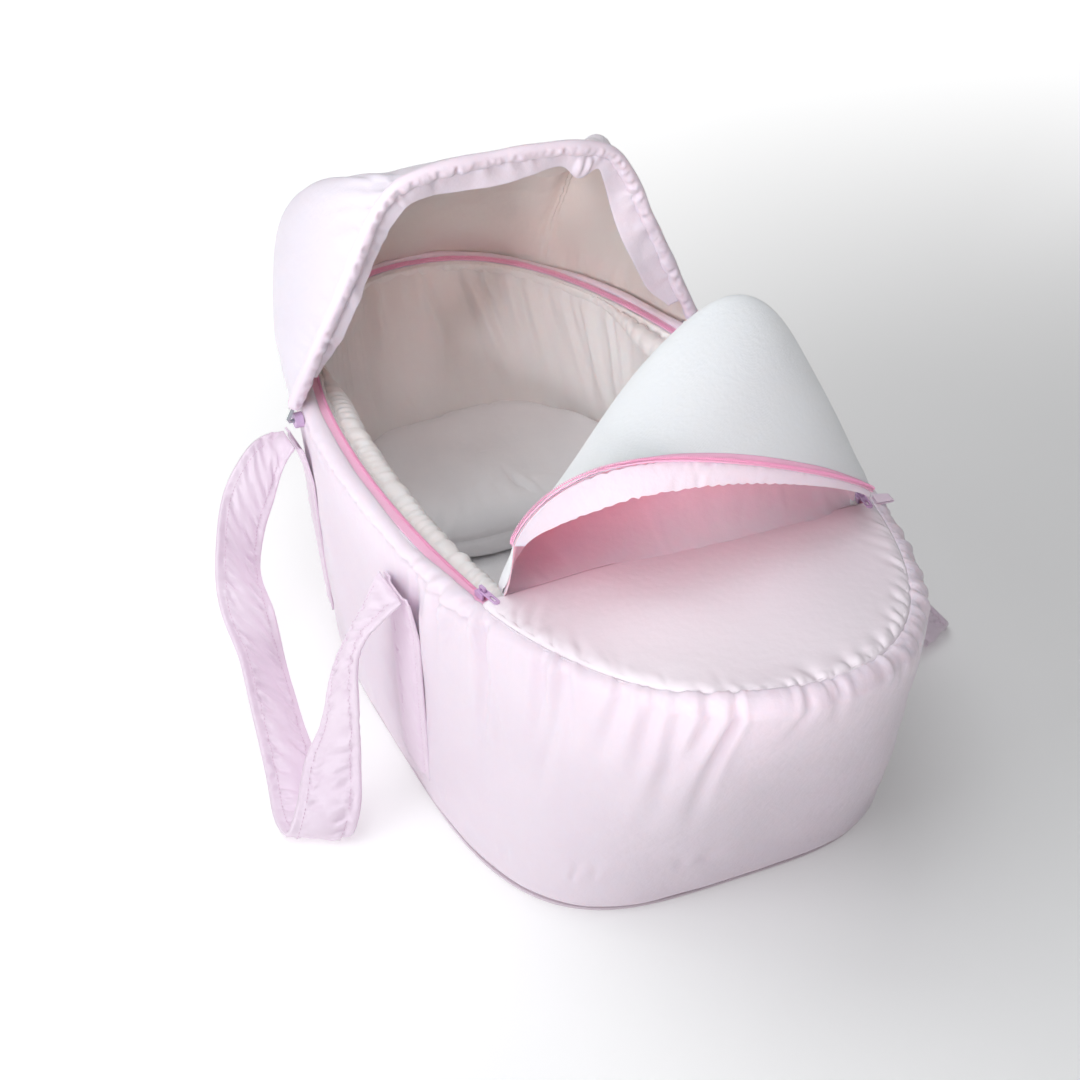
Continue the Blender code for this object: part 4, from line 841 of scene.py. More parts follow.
def pillow_loop(height, tuck):
    """Outline of the pillow at a height: round the head end, then square across the front."""
    start = side_angle(PILLOW_Y, BED_INSET + tuck, share_at(height))
    back = np.stack(outline(np.linspace(start, math.pi - start, 180), share_at(height), BED_INSET + tuck), -1)
    front_turn = np.linspace(math.pi, TAU, 160)[1:]
    x = back[0, 0] * power_wave(np.cos(front_turn), PILLOW_POWER)
    y = PILLOW_Y + (PILLOW_FOOT - tuck) * power_wave(np.sin(front_turn), PILLOW_POWER)
    loop = np.concatenate([back, np.stack([x, y], -1)])
    length = path_length(loop)
    place = np.linspace(0, length[-1], 341)
    even = [np.interp(place, length, loop[:, i]) for i in (0, 1)]
    return np.stack([*even, np.full(len(place), height)], -1), place


first, round_length = pillow_loop(PILLOW_LOW + 0.001, 0.020)
loops = [towards(first, share) for share in (0.0, 0.4, 0.75)] + [first]
for tuck_mm, rise in ((10, 0.05), (4.5, 0.13), (1.4, 0.24), (0.2, 0.34), (0, 0.42), (1.9, 0.450), (1.9, 0.480),
                      (0.2, 0.52), (0.6, 0.60), (3, 0.70), (7.5, 0.80), (14, 0.875), (23, 0.93), (34, 0.963)):
    loops.append(pillow_loop(PILLOW_LOW + rise * PILLOW_THICK, tuck_mm / 1000)[0])
last = loops[-1]
for share in np.linspace(0.92, 0, 30):
    loops.append(towards(last, share, 0.0022 * (1 - share**2)))
PILLOW_SEAM = 9
seams = (54, 70, AHEAD, 0.35, 15, 50, 2.2, 4.2, 1, 2.8), (55, 60, BACK, 0.35, 12, 30, 2.2, 4, 0.5, 1.2)
pad_piece("jersey_pillow", loops, round_length, PILLOW_SEAM, seams, 0.0022, 56, "pillow", 0.85)

# %% [markdown]
# ## Foot panel
#
# A D-shaped panel of satin is sewn over the foot end. It is pulled nearly flat, with a thin layer of wadding, so it
# only rounds off at its seam. The seam puckers it: short folds point inwards all along the edge, and a few long ones
# fan out from the left corner, where the strap pulls.

# %% Foot panel surface
D_INSET, HINGE_GAP = 0.0142, 0.0010
D_LINE_Y = COVER_LINE_Y - HINGE_GAP
D_HALF_X, D_HALF_Y = RIM_WIDTH / 2 - D_INSET, RIM_LENGTH / 2 - D_INSET


def panel_top(x, y):
    """Height of the foot panel at a place, and the distance from there to its seam."""
    far_x, far_y = np.abs(x) / D_HALF_X, np.abs(y) / D_HALF_Y
    radius = (far_x**RIM_POWER + far_y**RIM_POWER) ** (1 / RIM_POWER)
    slope_x = (far_x / radius) ** (RIM_POWER - 1) / D_HALF_X
    slope_y = (far_y / radius) ** (RIM_POWER - 1) / D_HALF_Y
    to_seam = np.clip((1 - radius) / np.hypot(slope_x, slope_y), 0, None)
    rounding = quarter(to_seam / 0.008)
    crown = 0.0066 * smooth(to_seam / 0.11) * (0.55 + 0.45 * smooth((D_LINE_Y - y) / 0.08))
    return rim_height(y) - 0.0017 + 0.0036 * rounding + crown, to_seam


# %% Foot panel grid
start = side_angle(D_LINE_Y, D_INSET)
reach = np.linspace(0, 1, 130)
corner_turn = mix(start, -math.pi / 2 + 0.0005, smooth(reach) * 0.35 + reach * 0.65)
half, y = outline(corner_turn, 1.0, D_INSET)
x = half[:, None] * -np.cos(math.pi * np.linspace(0, 1, 190))
y = np.broadcast_to(y[:, None], x.shape)
top, to_seam = panel_top(x, y)
seam_turn = np.arctan2(np.sign(y) * np.abs(y / D_HALF_Y) ** (RIM_POWER / 2),
                       np.sign(x) * np.abs(x / D_HALF_X) ** (RIM_POWER / 2))
round_seam = np.interp(seam_turn % TAU, fine_turn, fine_length)
print("foot panel: %.3f m from its seam at most" % to_seam.max())

# %% Foot panel
seam_low, seam_high = foot_start - 0.01, foot_end + 0.01
rows = gathers(
    (61, 96, seam_low, seam_high, 0.0, AHEAD, 0.35, 8, 18, 1.4, 2.4, 0.8, 1.8),
    (65, 22, seam_low, seam_high, 0.0, AHEAD, 0.3, 18, 36, 2.2, 3.6, 1, 2.2),
    (62, 12, foot_start - 0.02, foot_start + 0.07, 0.0, AHEAD - 0.5, 0.5, 30, 65, 2.4, 4.2, 1.6, 3.2),
    (63, 8, foot_end - 0.05, seam_high, 0.0, AHEAD + 0.4, 0.4, 20, 50, 3, 5, 0.8, 1.8),
)
held = np.interp(round_seam, np.linspace(foot_start, foot_end, 8), (1.0, 0.6, 0.45, 0.55, 1.0, 1.0, 0.5, 0.35))
height = folds(round_seam, to_seam, rows) * held * smooth((D_LINE_Y - y) / 0.030)
panel = np.stack([x, y, top], -1)
height = height + waves(panel, 0.12, 0.0009, 64) * smooth(to_seam / 0.03) * smooth((COVER_LINE_Y - y) / 0.05)
panel[..., 2] += height * smooth(to_seam / 0.002)
# The foot panel's satin is painted lighter than the shell's, which is painted light against the cover's shade.
foot_panel = sheet_piece("foot_panel", panel, x, y, 0.0016, satin_painted_lighter, "basket", "satin", "foot_cover")

# %% [markdown]
# ## Folded-back cover
#
# The cover is zipped over the basket in use. Here it is thrown back, so it stands in a tall fold over its seam with
# its brushed white lining outside and its satin inside. Its section is a curve from the seam over the crest and down
# to the free edge, which carries the other half of the zip. A soft placket hangs below that.

# %% Fold of the cover
HINGE = np.array([0, COVER_LINE_Y, RIM_HEIGHT + RIM_SLOPE * COVER_LINE_Y + 0.0028])
FLAP_HALF, FLAP_THICK = 0.152, 0.0045


def fold_frame(across):
    """Root, crest and free edge of the fold at shares of its width."""
    swell = arch(across)
    x = mix(-FLAP_HALF, FLAP_HALF, across)
    free = arch(mix(0.02, 0.98, across) ** 0.582) ** 0.728
    peak = arch(mix(0.025, 0.975, across) ** 1.786)
    none = np.zeros_like(x)
    root = HINGE + np.stack([x, none - 0.0008, none - 0.0012], -1)
    crest = np.stack([x + 0.0215 * swell, -0.0041 + 0.0857 * swell**0.548, 0.0101 + 0.156 * peak], -1) + HINGE
    tip = np.stack([x, -0.0206 - 0.0161 * swell, 0.0160 + 0.0933 * free], -1) + HINGE
    return root, crest, tip


# %% Section of the cover
across = np.linspace(0, 1, 190)
root, crest, tip = fold_frame(across)
total = (8 * crest - root - tip) / 3
spread = np.minimum(0.0241, 0.55 * np.linalg.norm(tip - root, axis=-1))[:, None] * [0, -1, 0]
step = np.linspace(0, 1, 130)
step = (step + 0.06 * np.sin(TAU * step))[:, None, None]
other = 1 - step
fold = other**3 * root + 1.5 * other**2 * step * (total - spread)
fold = fold + 1.5 * other * step**2 * (total + spread) + step**3 * tip
normals = grid_normals(fold)
normals *= np.sign(normals[65, 95, 2])
s, t = path_length(fold, 1), path_length(fold)
print("cover: %.3f m over the fold, %.3f m wide" % (t[-1].max(), s[0, -1]))

# %% Cover lining
to_end = np.minimum(s, s[:, -1:] - s)
quiet = smooth(to_end / 0.03) * smooth((t[-1] - t) / 0.04) * smooth(t / 0.02)
fold = fold + normals * (waves(fold, 0.15, 0.0022, 72) * quiet)[..., None]
rows = gathers((71, 9, 0.0, s[0, -1], 0.0, AHEAD, 0.5, 50, 120, 6, 10, 0.5, 1.2))
height = np.clip(folds(s, t, rows), -0.0012, 0.001) * quiet
closed = smooth(to_end / 0.007) * smooth((t[-1] - t) / 0.006) * smooth((t + 0.002) / 0.006)
half = 0.0006 + (FLAP_THICK / 2 - 0.0008) * closed
outer_face = fold + normals * (half + height)[..., None]
lining = sheet_piece("cover_brushed_lining", outer_face, s, t, 0.0008, brushed, None, "cover_lining", "flap_lining",
                     flip=True)

# %% [markdown]
# The satin face is the inner one. Its lower edge leaves the fold and lands on the foot panel, so that the two cloths
# meet without a gap.

# %% Cover satin
rows = gathers(
    (73, 30, 0.0, s[0, -1], 0.002, AHEAD, 0.45, 20, 90, 3, 6, 1.2, 3),
    (74, 34, 0.0, s[-1, -1], t[-1].mean(), BACK, 0.4, 20, 50, 3, 5, 0.8, 2),
)
height = folds(s, t, rows) + waves(fold, 0.10, 0.0014, 75) * quiet
inner_face = fold - normals * (half + np.clip(height, -0.0008, 0.004) * (0.3 + 0.7 * closed))[..., None]
landing_x, landing_y = inner_face[0, :, 0], D_LINE_Y - 0.020 * smooth(to_end[0] / 0.045)
landing = np.stack([landing_x, landing_y, panel_top(landing_x, landing_y)[0] - 0.0006], -1)
climb = np.clip(t / 0.046, 0, 1)
inner_face = mix(landing[None], inner_face, np.stack([climb * (2 - climb), climb * (2 - climb), smooth(climb)], -1))
satin_face = sheet_piece("cover_satin_face", inner_face, s, t, 0.0008, painted_rose_shade_satin, None, "satin", "flap_outer")
for piece in (lining, satin_face):
    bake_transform(piece)

# %% Cover zip
EDGE_FACE = 0.0010
even, e_run, e_out = even_line(0.002, fold[-1], unit(fold[-1] - fold[-3]), normals[-1])
e_share = np.linspace(0, 1, len(even))
e_swell = arch(e_share)
near, far = (mix(ends, middle, e_swell**0.5) for ends, middle in ((0.002, 0.0046), (0.001, 0.0036)))
band = tape_strip("cover_zip_band", even + e_out * (EDGE_FACE + 0.0006), e_run, e_out, -near, far, "flap",
                  "flap_zip_tape")
beside = mix(0.0002, 0.0028, e_swell**0.5)[:, None] - COIL_THICK / 2
middle = even + e_run * beside + e_out * (EDGE_FACE + 0.0012 + 0.0003 + COIL_THICK / 2)
coil_piece("cover_zip_spiral", middle, e_run, e_out, "flap", "flap_zip_coil")


# %% Rounded steps
def rounded(share, places, values):
    """Values at even shares between a few given places, with the corners rounded."""
    weight = np.hanning(23)[1:-1]
    return np.convolve(np.pad(np.interp(share, places, values), 10, mode="edge"), weight / weight.sum(), "valid")


# %% Placket
down = np.linspace(0, 1, 26)[:, None]
drop = rounded(e_share, (0, 0.08, 0.2, 0.4, 0.6, 0.8, 1), (0.006, 0.020, 0.025, 0.021, 0.0145, 0.010, 0.004))
along = path_length(even)
tangent = unit(np.gradient(even, axis=0))
hang = unit(HINGE + [0, -0.050, 0.015] - even)
hang = unit(hang - tangent * np.sum(hang * tangent, -1, keepdims=True))
curl = unit(0.30 * e_run + hang)
hem = 0.0013 * np.abs(np.sin(along * math.pi / 0.0105 + 1.8 * np.sin(along * 31))) * smooth((down - 0.45) / 0.5)
hem = hem * smooth((along - 0.05) / 0.05) * smooth((0.30 - along) / 0.08)
reach = 0.0005 + drop * down + hem * e_swell
rows = gathers(
    (76, 70, 0, along[-1], 0.024, BACK, 0.3, 8, 20, 1.4, 2.4, 0.6, 1.4),
    (77, 50, 0, along[-1], 0.0, AHEAD, 0.3, 8, 18, 1.4, 2.4, 0.4, 1),
)
bend = folds(along, reach, rows) * e_swell + 0.0030 * np.sin(math.pi * down) * e_swell
points = even + curl * reach[..., None] + e_out * bend[..., None]
placket = sheet_piece("cover_placket", points, along, reach, 0.0018, satin, "flap", "satin", "flap_placket",
                      offset=0, flip=True)

# %% [markdown]
# ## Hood
#
# The hood hangs on a sprung wire bow. A padded tube of satin runs over the wire and makes the rolled front edge; the
# canopy spans from it to the rim round the head, with a gusset seam from each bow corner that keeps the sides flat
# and the roof round. A sheer lining hangs inside it, and a band of satin hides its front edge.
#
# The bow's route is a smooth curve through a few points: up a leg, round a corner, over a slightly crowned top.

# %% Smooth route
PIVOT = np.array([0, 0.160, RIM_HEIGHT - 0.0174])
SLEEVE_START, SLEEVE_THICK = 0.013, 0.014
BOW_FOOT_X, BOW_CORNER_X, BOW_CORNER_UP, BOW_LEAN, BOW_CROWN = 0.2045, 0.104, 0.1926, 0.012, 0.006


def smooth_route(points, count):
    """Even samples of a smooth curve through points, spaced by the square root of their distances."""
    source = np.array(points, dtype=float)
    along = np.concatenate([[0], np.cumsum(np.sqrt(np.linalg.norm(np.diff(source, axis=0), axis=1)))])
    slopes = np.gradient(source, along, axis=0)
    value = np.linspace(0, along[-1], count)
    i = np.clip(np.searchsorted(along, value, side="right") - 1, 0, len(source) - 2)
    span = (along[i + 1] - along[i])[:, None]
    t = ((value - along[i]) / span[:, 0])[:, None]
    out = (2 * t**3 - 3 * t**2 + 1) * source[i] + (3 * t**2 - 2 * t**3) * source[i + 1]
    return out + span * ((t**3 - 2 * t**2 + t) * slopes[i] + (t**3 - t**2) * slopes[i + 1])


# %% Bow
def bow_route(count, start=0.0):
    """Points along the bow from the left foot to the right, with outward directions."""
    foot = np.array([-BOW_FOOT_X, PIVOT[1], PIVOT[2]])
    corner = np.array([-BOW_CORNER_X, PIVOT[1] - BOW_LEAN, RIM_HEIGHT + BOW_CORNER_UP])
    leg = unit(corner - foot)
    foot = foot + leg * start
    before, after, rise = corner - leg * 0.030, corner + [0.030, 0, 0], np.array([0, 0, BOW_CROWN])
    left = [foot, mix(foot, before, 1 / 3), mix(foot, before, 2 / 3), before, (before + after) / 4 + corner / 2,
            after + rise / 3, np.array([-BOW_CORNER_X / 3, corner[1], corner[2]]) + rise]
    points = smooth_route(left + [p * [-1, 1, 1] for p in left[::-1]], count)
    outward = unit(np.cross([0.0, 1.0, 0.0], np.gradient(points, axis=0)))
    outward[np.sum(outward * (points - PIVOT), -1) < 0] *= -1
    return points, outward


# %% Rolled front edge
points, outward = even_line(0.0016, *bow_route(420, SLEEVE_START))
length = path_length(points)
side = unit(np.cross(np.gradient(points, axis=0), outward))
bend = np.linspace(0, TAU, 33)
ring = outward[:, None] * np.cos(bend)[None, :, None] + side[:, None] * np.sin(bend)[None, :, None]
tube = points[:, None] + ring * SLEEVE_THICK / 2
s, t = length[:, None], bend * SLEEVE_THICK / 2
puckers = 10, 22, 1.2, 2.4, 0.7, 1.7
rows = gathers((81, 120, 0, length[-1], 0.010, AHEAD, 0.5, *puckers),
               (82, 120, 0, length[-1], 0.034, BACK, 0.5, *puckers))
height = folds(s, t, rows) + waves(tube, 0.05, 0.0005, 83)
tube = tube + unit(tube - points[:, None]) * np.clip(height, -0.002, 0.0012)[..., None]
cap = quarter(np.minimum(length, length[-1] - length) / 0.006)
tube = points[:, None] + (tube - points[:, None]) * cap[:, None, None]
tube[:, -1] = tube[:, 0]
sleeve = grid_piece("hood_edge_roll", tube, s, t, flip=True)
finish(sleeve, satin, "hood", "satin", "bow_sleeve", fill=0.8)


# %% Canopy surface
HEM_OUT, HEM_DROP, CANOPY_LIFT, LINING_GAP = 0.0074, 0.014, 0.0022, 0.0039


def hood_surface(columns, rows):
    """Outer face of the hood from the bow back to the rim, with each column's share and each row's share."""
    across = np.linspace(0, 1, columns)
    points, out = bow_route(columns, SLEEVE_START - CANOPY_LIFT)
    front = points + out * CANOPY_LIFT + [0, SLEEVE_THICK / 2 - 0.0030, 0]
    start = side_angle(PIVOT[1] + SLEEVE_THICK, 0)
    back = math.radians(60)
    turn = np.interp(across, (0, 0.35, 0.5, 0.65, 1), (math.pi - start, math.pi - back, math.pi / 2, back, start))
    slack = 0.019 * bell(across - 0.30, 0.09)
    rear = rim_point(turn, -HEM_OUT, HEM_DROP - slack)
    corner = np.stack([front[:, 0], front[:, 1], rear[:, 2]], -1)
    away = np.abs(across - 0.5)
    bulge = bell(away - 0.311, 0.210) * np.minimum(1, (0.5 - away) / 0.08)
    power = mix(1.29, 3.08, smooth((away - 0.12) / 0.20))[None]
    down = np.linspace(0, 1, rows)[:, None]
    rise = np.clip(np.cos(math.pi / 2 * down), 0, None) ** (2 / power)
    reach = np.clip(np.sin(math.pi / 2 * down), 0, None) ** (2 / power)
    points = corner + (front - corner) * rise[..., None] + (rear - corner) * reach[..., None]
    swell = arch(down)
    points[..., 0] += np.tanh((across - 0.5) / 0.02) * 0.0147 * bulge * swell
    points[..., 2] += (0.0149 * bulge - 0.004 * arch(across)) * swell
    return points, across, down


# %% Canopy grid
HOOD_COLUMNS, HOOD_MIDDLE = 300, 150
canopy, across, down = hood_surface(HOOD_COLUMNS, 130)
normals = grid_normals(canopy)
normals *= np.sign(normals[40, HOOD_MIDDLE, 2])
s, t = path_length(canopy, 1), path_length(canopy)
s = s - s[:, [HOOD_MIDDLE]]
front_s, depth = s[0], t[-1] - t
bow_points = bow_route(HOOD_COLUMNS, SLEEVE_START)[0][:HOOD_MIDDLE]
corner_share = float(across[np.argmax(-bow_points[:, 0] * 0.6 + bow_points[:, 2])])
print("bow corner at %.3f of the front edge, canopy %.3f m deep" % (corner_share, t[-1, HOOD_MIDDLE]))

# %% Canopy cloth
away = np.abs(across - 0.5)
gusset = 0.5 - corner_share
from_gusset = away - gusset - 0.035 * down
crease = bell(from_gusset, 0.010) - 0.5 * bell(from_gusset, 0.028)
bow_corner = float(front_s[int(HOOD_COLUMNS * corner_share)])
front_rows = gathers(
    (91, 90, front_s[0], front_s[-1], 0.004, AHEAD, 0.35, 12, 35, 1.6, 3.2, 0.6, 1.5),
    (90, 9, bow_corner - 0.035, bow_corner + 0.03, 0.002, AHEAD + 0.5, 0.35, 45, 120, 3, 5.5, 1.4, 3),
    (89, 9, -bow_corner - 0.035, -bow_corner + 0.03, 0.002, AHEAD - 0.5, 0.35, 45, 120, 3, 5.5, 1.4, 3),
)
rear_rows = gathers(
    (92, 64, front_s[0], front_s[-1], 0.0, AHEAD, 0.3, 15, 60, 2.5, 5, 0.6, 1.6),
)
free = smooth(t / 0.03) * smooth(depth / 0.02)
height = -0.0022 * crease * smooth((1 - down) / 0.5)
height = height + folds(front_s, t, front_rows) + folds(front_s, depth, rear_rows)
height = height + waves(canopy, 0.15, 0.0022, 93) * free + waves(canopy, 0.05, 0.0005, 94) * free
height = np.where(height < 0, -0.0024 * np.tanh(-height / 0.0024), height)
hem = bell(depth - 0.011, 0.0016) * 0.0008
edge_free = smooth(np.minimum(across, 1 - across)[None] / 0.03)
outer_face = canopy + normals * ((height - hem) * edge_free)[..., None]
canopy_piece = sheet_piece("hood_satin_canopy", outer_face, s, t, 0.0009, satin, None, "satin", "hood_canopy")

# %% Hood lining
front_rows = gathers(
    (95, 16, front_s[0], front_s[-1], 0.0, AHEAD, 0.5, 100, 240, 8, 14, 1.5, 3.5),
    (96, 40, front_s[0], front_s[-1], 0.0, AHEAD, 0.3, 20, 70, 2.5, 5, 0.8, 1.8),
)
rear_rows = gathers(
    (97, 56, front_s[0], front_s[-1], 0.0, AHEAD, 0.3, 20, 80, 3, 6, 1, 2.4),
)
height = folds(front_s, t, front_rows) + folds(front_s, depth, rear_rows)
sewn = np.clip(gusset + 0.035 * down, 0, 0.49)[:, 0]
puckers = 8, 22, 1.4, 2.6, 0.6, 1.6
for sign, seed in ((-1, 88), (1, 110)):
    at_seam = s - np.array([np.interp(0.5 + sign * g, across, row) for g, row in zip(sewn, s)])[:, None]
    rows = gathers((seed, 34, 0.0, t[-1, HOOD_MIDDLE], 0.0, AHEAD, 0.6, *puckers),
                   (seed - 1, 34, 0.0, t[-1, HOOD_MIDDLE], 0.0, BACK, 0.6, *puckers))
    ridges = bell(np.abs(at_seam) - 0.0045, 0.003)
    height = height + folds(t, at_seam, rows) - 0.0016 * bell(at_seam, 0.0014) + 0.0012 * ridges
height = height + 0.0012 + waves(canopy, 0.12, 0.0030, 98) * free
inner = canopy - normals * (LINING_GAP + np.clip(height * free + 0.001 * free, 0, 0.007) * edge_free)[..., None]
lining_piece = sheet_piece("hood_sheer_lining", inner, s, t, 0.0010, sheer, None, "cover_lining", "hood_lining")
for piece in (canopy_piece, lining_piece):
    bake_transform(piece)

# %% Facing band
points, outward = bow_route(300, 0.047)
share = np.linspace(0, 1, 300)[:, None]
length = path_length(points)[:, None]
width = rounded(share[:, 0], (0, 0.06, 0.25, 0.34, 0.42, 0.50, 0.595, 0.63, 0.665, 0.74, 0.85, 0.96, 1),
                (0.005, 0.012, 0.014, 0.019, 0.027, 0.025, 0.013, 0.033, 0.010, 0.016, 0.026, 0.024, 0.012))[:, None]
near = points - outward * (SLEEVE_THICK / 2 - 0.0025)
bunch = bell(share - 0.632, 0.018)
back = unit(np.array([0, 0.12, 0]) - outward)
down = np.linspace(0, 1, 22)
sway = 0.16 * np.sin(share * TAU * 1.5 + 0.6) + 0.06 * np.sin(share * TAU * 4.3 + 1.0)
reach = width * down[None] * (0.92 + sway * down)
band = near[:, None] + back[:, None] * reach[..., None]
rows = gathers((101, 34, 0, length[-1, 0], 0.0, AHEAD, 0.6, 14, 30, 2.4, 4.4, 1, 2.6))
bend = folds(length, reach, rows) + 0.0022 * np.sin(length * TAU / 0.11 + 1.0) * down
bend = bend - 0.0050 * bunch * arch(down) * (1 + 0.5 * np.sin(share * TAU / 0.022))
band[..., 1] += bend
facing = sheet_piece("hood_facing_band", band, length, reach, 0.0014, satin, "hood", "satin", "hood_facing", offset=0)

# %% [markdown]
# ## Strap handles
#
# Each handle is a flat satin strap over wadding, with a row of stitching about 9 mm in from both edges. The stitching
# pulls it down, so the strap has a full middle and two thin lips, and small slanting wrinkles run in from the
# stitches wherever it bends. Its route and its edges were placed from the photograph: down from the head anchor to
# the floor and back up to the foot anchor.

# %% Handle route
STRAP_EDGES = (
    (2, 184, 205, 2, 150, 205), (20, 178, 209, 16, 143, 192), (42, 163, 208, 30, 133, 168),
    (70, 150, 178, 44, 124, 142), (95, 105, 137, 53, 113, 112), (100, 87, 107, 55, 72, 94),
    (98, 41, 72, 54, 47, 44), (102, -6, 40, 56, 5, 22), (108, -50, 18, 59, -43, 11),
    (114.5, -90, 6.2, 64, -104, 5.6), (112, -115, 11, 64, -139, 11), (100, -107, 29, 54, -135, 33),
    (82, -80, 49, 44, -113, 60), (60, -65, 78, 40, -103, 105), (44, -50, 108, 38, -97, 141),
    (32, -60, 148, 34, -106, 174), (20, -66, 176, 22, -118, 198), (5.5, -72, 212, 5.5, -122, 212),
)
STRAP_THICK, LIP_THICK, STITCH_INSET = 0.0092, 0.0016, 0.0088


def strap_edges(side):
    """Edge points of one handle; the right one is splayed further out near the floor.

    A station of the route holds both edges' points, in millimetres from the rim's side, the middle and the floor.
    """
    pairs = np.reshape(STRAP_EDGES, (-1, 2, 3)) / 1000
    splay = np.clip(1 - pairs[..., 2] / 0.19, 0, None) if side > 0 else 0
    x = RIM_WIDTH / 2 + pairs[..., 0] + 0.034 * splay
    return np.stack([side * x, pairs[..., 1] + 0.028 * splay, pairs[..., 2]], -1)


# %% Stitches
STITCH_SPACING, STITCH_LONG, STITCH_THICK = 0.0034, 0.0023, 0.00032
STITCH_CORNERS = ((-0.5, 0, -0.6), (-0.3, 1, 0.2), (-0.3, -1, 0.2), (-0.3, 0, 0.9), (0.3, 1, 0.2), (0.3, -1, 0.2),
                  (0.3, 0, 0.9), (0.5, 0, -0.6))
STITCH_FACES = ((0, 3, 1), (0, 2, 3), (1, 3, 6, 4), (3, 2, 5, 6), (4, 6, 7), (6, 5, 7), (0, 1, 4, 7), (0, 7, 5, 2))


def stitch_row(name, points, up, body):
    """A row of thread stitches along a line on cloth, each a small bead of eight corners drawn out along the line."""
    points, up = even_line(STITCH_SPACING, points, up)
    along = unit(np.gradient(points, axis=0))
    across = unit(np.cross(along, up))
    corners = [points + along * (a * STITCH_LONG) + across * (w * STITCH_THICK) + up * (h * STITCH_THICK)
               for a, w, h in STITCH_CORNERS]
    faces = [tuple(i * len(corners) + k for k in face) for i in range(len(points)) for face in STITCH_FACES]
    mesh = bpy.data.meshes.new(name)
    mesh.from_pydata(np.stack(corners, 1).reshape(-1, 3).tolist(), [], faces)
    mesh.shade_smooth()
    row = bpy.data.objects.new(name, mesh)
    scene.collection.objects.link(row)
    finish(row, thread, body, "satin")


# %% Handle
LANES = 31
LONG_WRINKLES = 0.35, 12, 34, 1.3, 2.6, 1, 2.4
LIP_WRINKLES = 0.25, 7, 12, 1.1, 1.9, 0.6, 1.2
STRAP_FOLDS = (
    (0, 110, -0.0155, AHEAD - 0.65, *LONG_WRINKLES),
    (2, 110, 0.0155, BACK - 0.65, *LONG_WRINKLES),
    (4, 120, -0.0160, BACK + 0.5, *LIP_WRINKLES),
    (6, 120, 0.0160, AHEAD + 0.5, *LIP_WRINKLES),
)


def handle_piece(name, side, seed):
    """Quilted strap as one closed skin from end to end, on the body and node of its name; gives its edges."""
    body = "handle_" + name
    edges = strap_edges(side)
    first, second = smooth_route(edges[:, 0], 420), smooth_route(edges[:, 1], 420)
    middle, across = (first + second) / 2, second - first
    width = np.linalg.norm(across, axis=-1)
    normal = unit(np.cross(unit(np.gradient(middle, axis=0)), across))
    length = path_length(middle)
    lanes = np.concatenate([np.linspace(-0.5, 0.5, LANES), np.linspace(0.5, -0.5, LANES)[1:]])
    upper = np.concatenate([np.ones(LANES), -np.ones(LANES - 1)])
    from_edge = (0.5 - np.abs(lanes))[None] * width[:, None]
    lip = quarter(from_edge / LIP_THICK)
    half = lip * (LIP_THICK + 0.0006 * arch(np.clip(from_edge / 0.0085, 0, 1)))
    half = half + (STRAP_THICK / 2 - LIP_THICK) * quarter((from_edge - 0.008) / 0.014)
    s, t = np.broadcast_to(length[:, None], half.shape), lanes[None] * width[:, None]
    bulge = np.zeros_like(half)
    for k, face in enumerate((upper > 0, upper < 0)):
        rows = gathers(*((seed + k + step, count, 0, length[-1], *rest) for step, count, *rest in STRAP_FOLDS))
        bulge[:, face] = folds(s[:, face], t[:, face], rows)
    cap = quarter(np.minimum(length, length[-1] - length)[:, None] / 0.005)
    half = np.clip(half + bulge * lip, 0.0006 * lip, STRAP_THICK * 0.62) * cap
    half[:, [0, LANES - 1, 2 * LANES - 2]] = 0
    skin = middle[:, None] + across[:, None] * lanes[None, :, None] + normal[:, None] * (half * upper)[..., None]
    wobble = waves(skin, 0.05, 0.0007, seed + 9) * cap
    skin = skin + normal[:, None] * wobble[..., None]
    strap = grid_piece("quilted_" + body, skin, s, np.abs(t))
    bpy.ops.object.mode_set(mode="EDIT")
    bpy.ops.mesh.normals_make_consistent(inside=False)
    bpy.ops.object.mode_set(mode="OBJECT")
    finish(strap, strap_satin, body, "satin", body, fill=0.6)
    for lane in (-1, 1):
        spot = (0.5 - STITCH_INSET / width)[:, None] * across * lane + middle
        for face in (-1, 1):
            near = np.argmin(np.abs(lanes - lane * (0.5 - STITCH_INSET / 0.046)) + (upper != face) * 9)
            rail = spot + normal * (face * (half[:, near] + 0.0002) + wobble[:, near])[:, None]
            row_name = "quilted_%s_stitches_%d_%d" % (body, (lane + 1) // 2, (face + 1) // 2)
            stitch_row(row_name, rail[8:-8], normal[8:-8] * face, body)
    return edges


left_edges, right_edges = handle_piece("left", -1, 110), handle_piece("right", 1, 120)

# %% [markdown]
# ## Sewn strap ends
#
# Below each anchor the strap is flattened and sewn down the wall, with one line of stitches near each edge. Its top
# edge stands out from the wall to meet the rounded end of the handle.

# %% Strap ends on the wall
BAND_WIDTH = 0.056
BAND_PUCKERS = 0.35, 8, 22, 1.6, 3, 0.4, 1
side_turn = fine_turn[:4000] - math.pi / 2


def wall_side(y, share, out):
    """Points on the right wall's outer face at given y, moved outward."""
    return wall_point(np.interp(y, outline(side_turn, share, 0)[1], side_turn), share, -out)


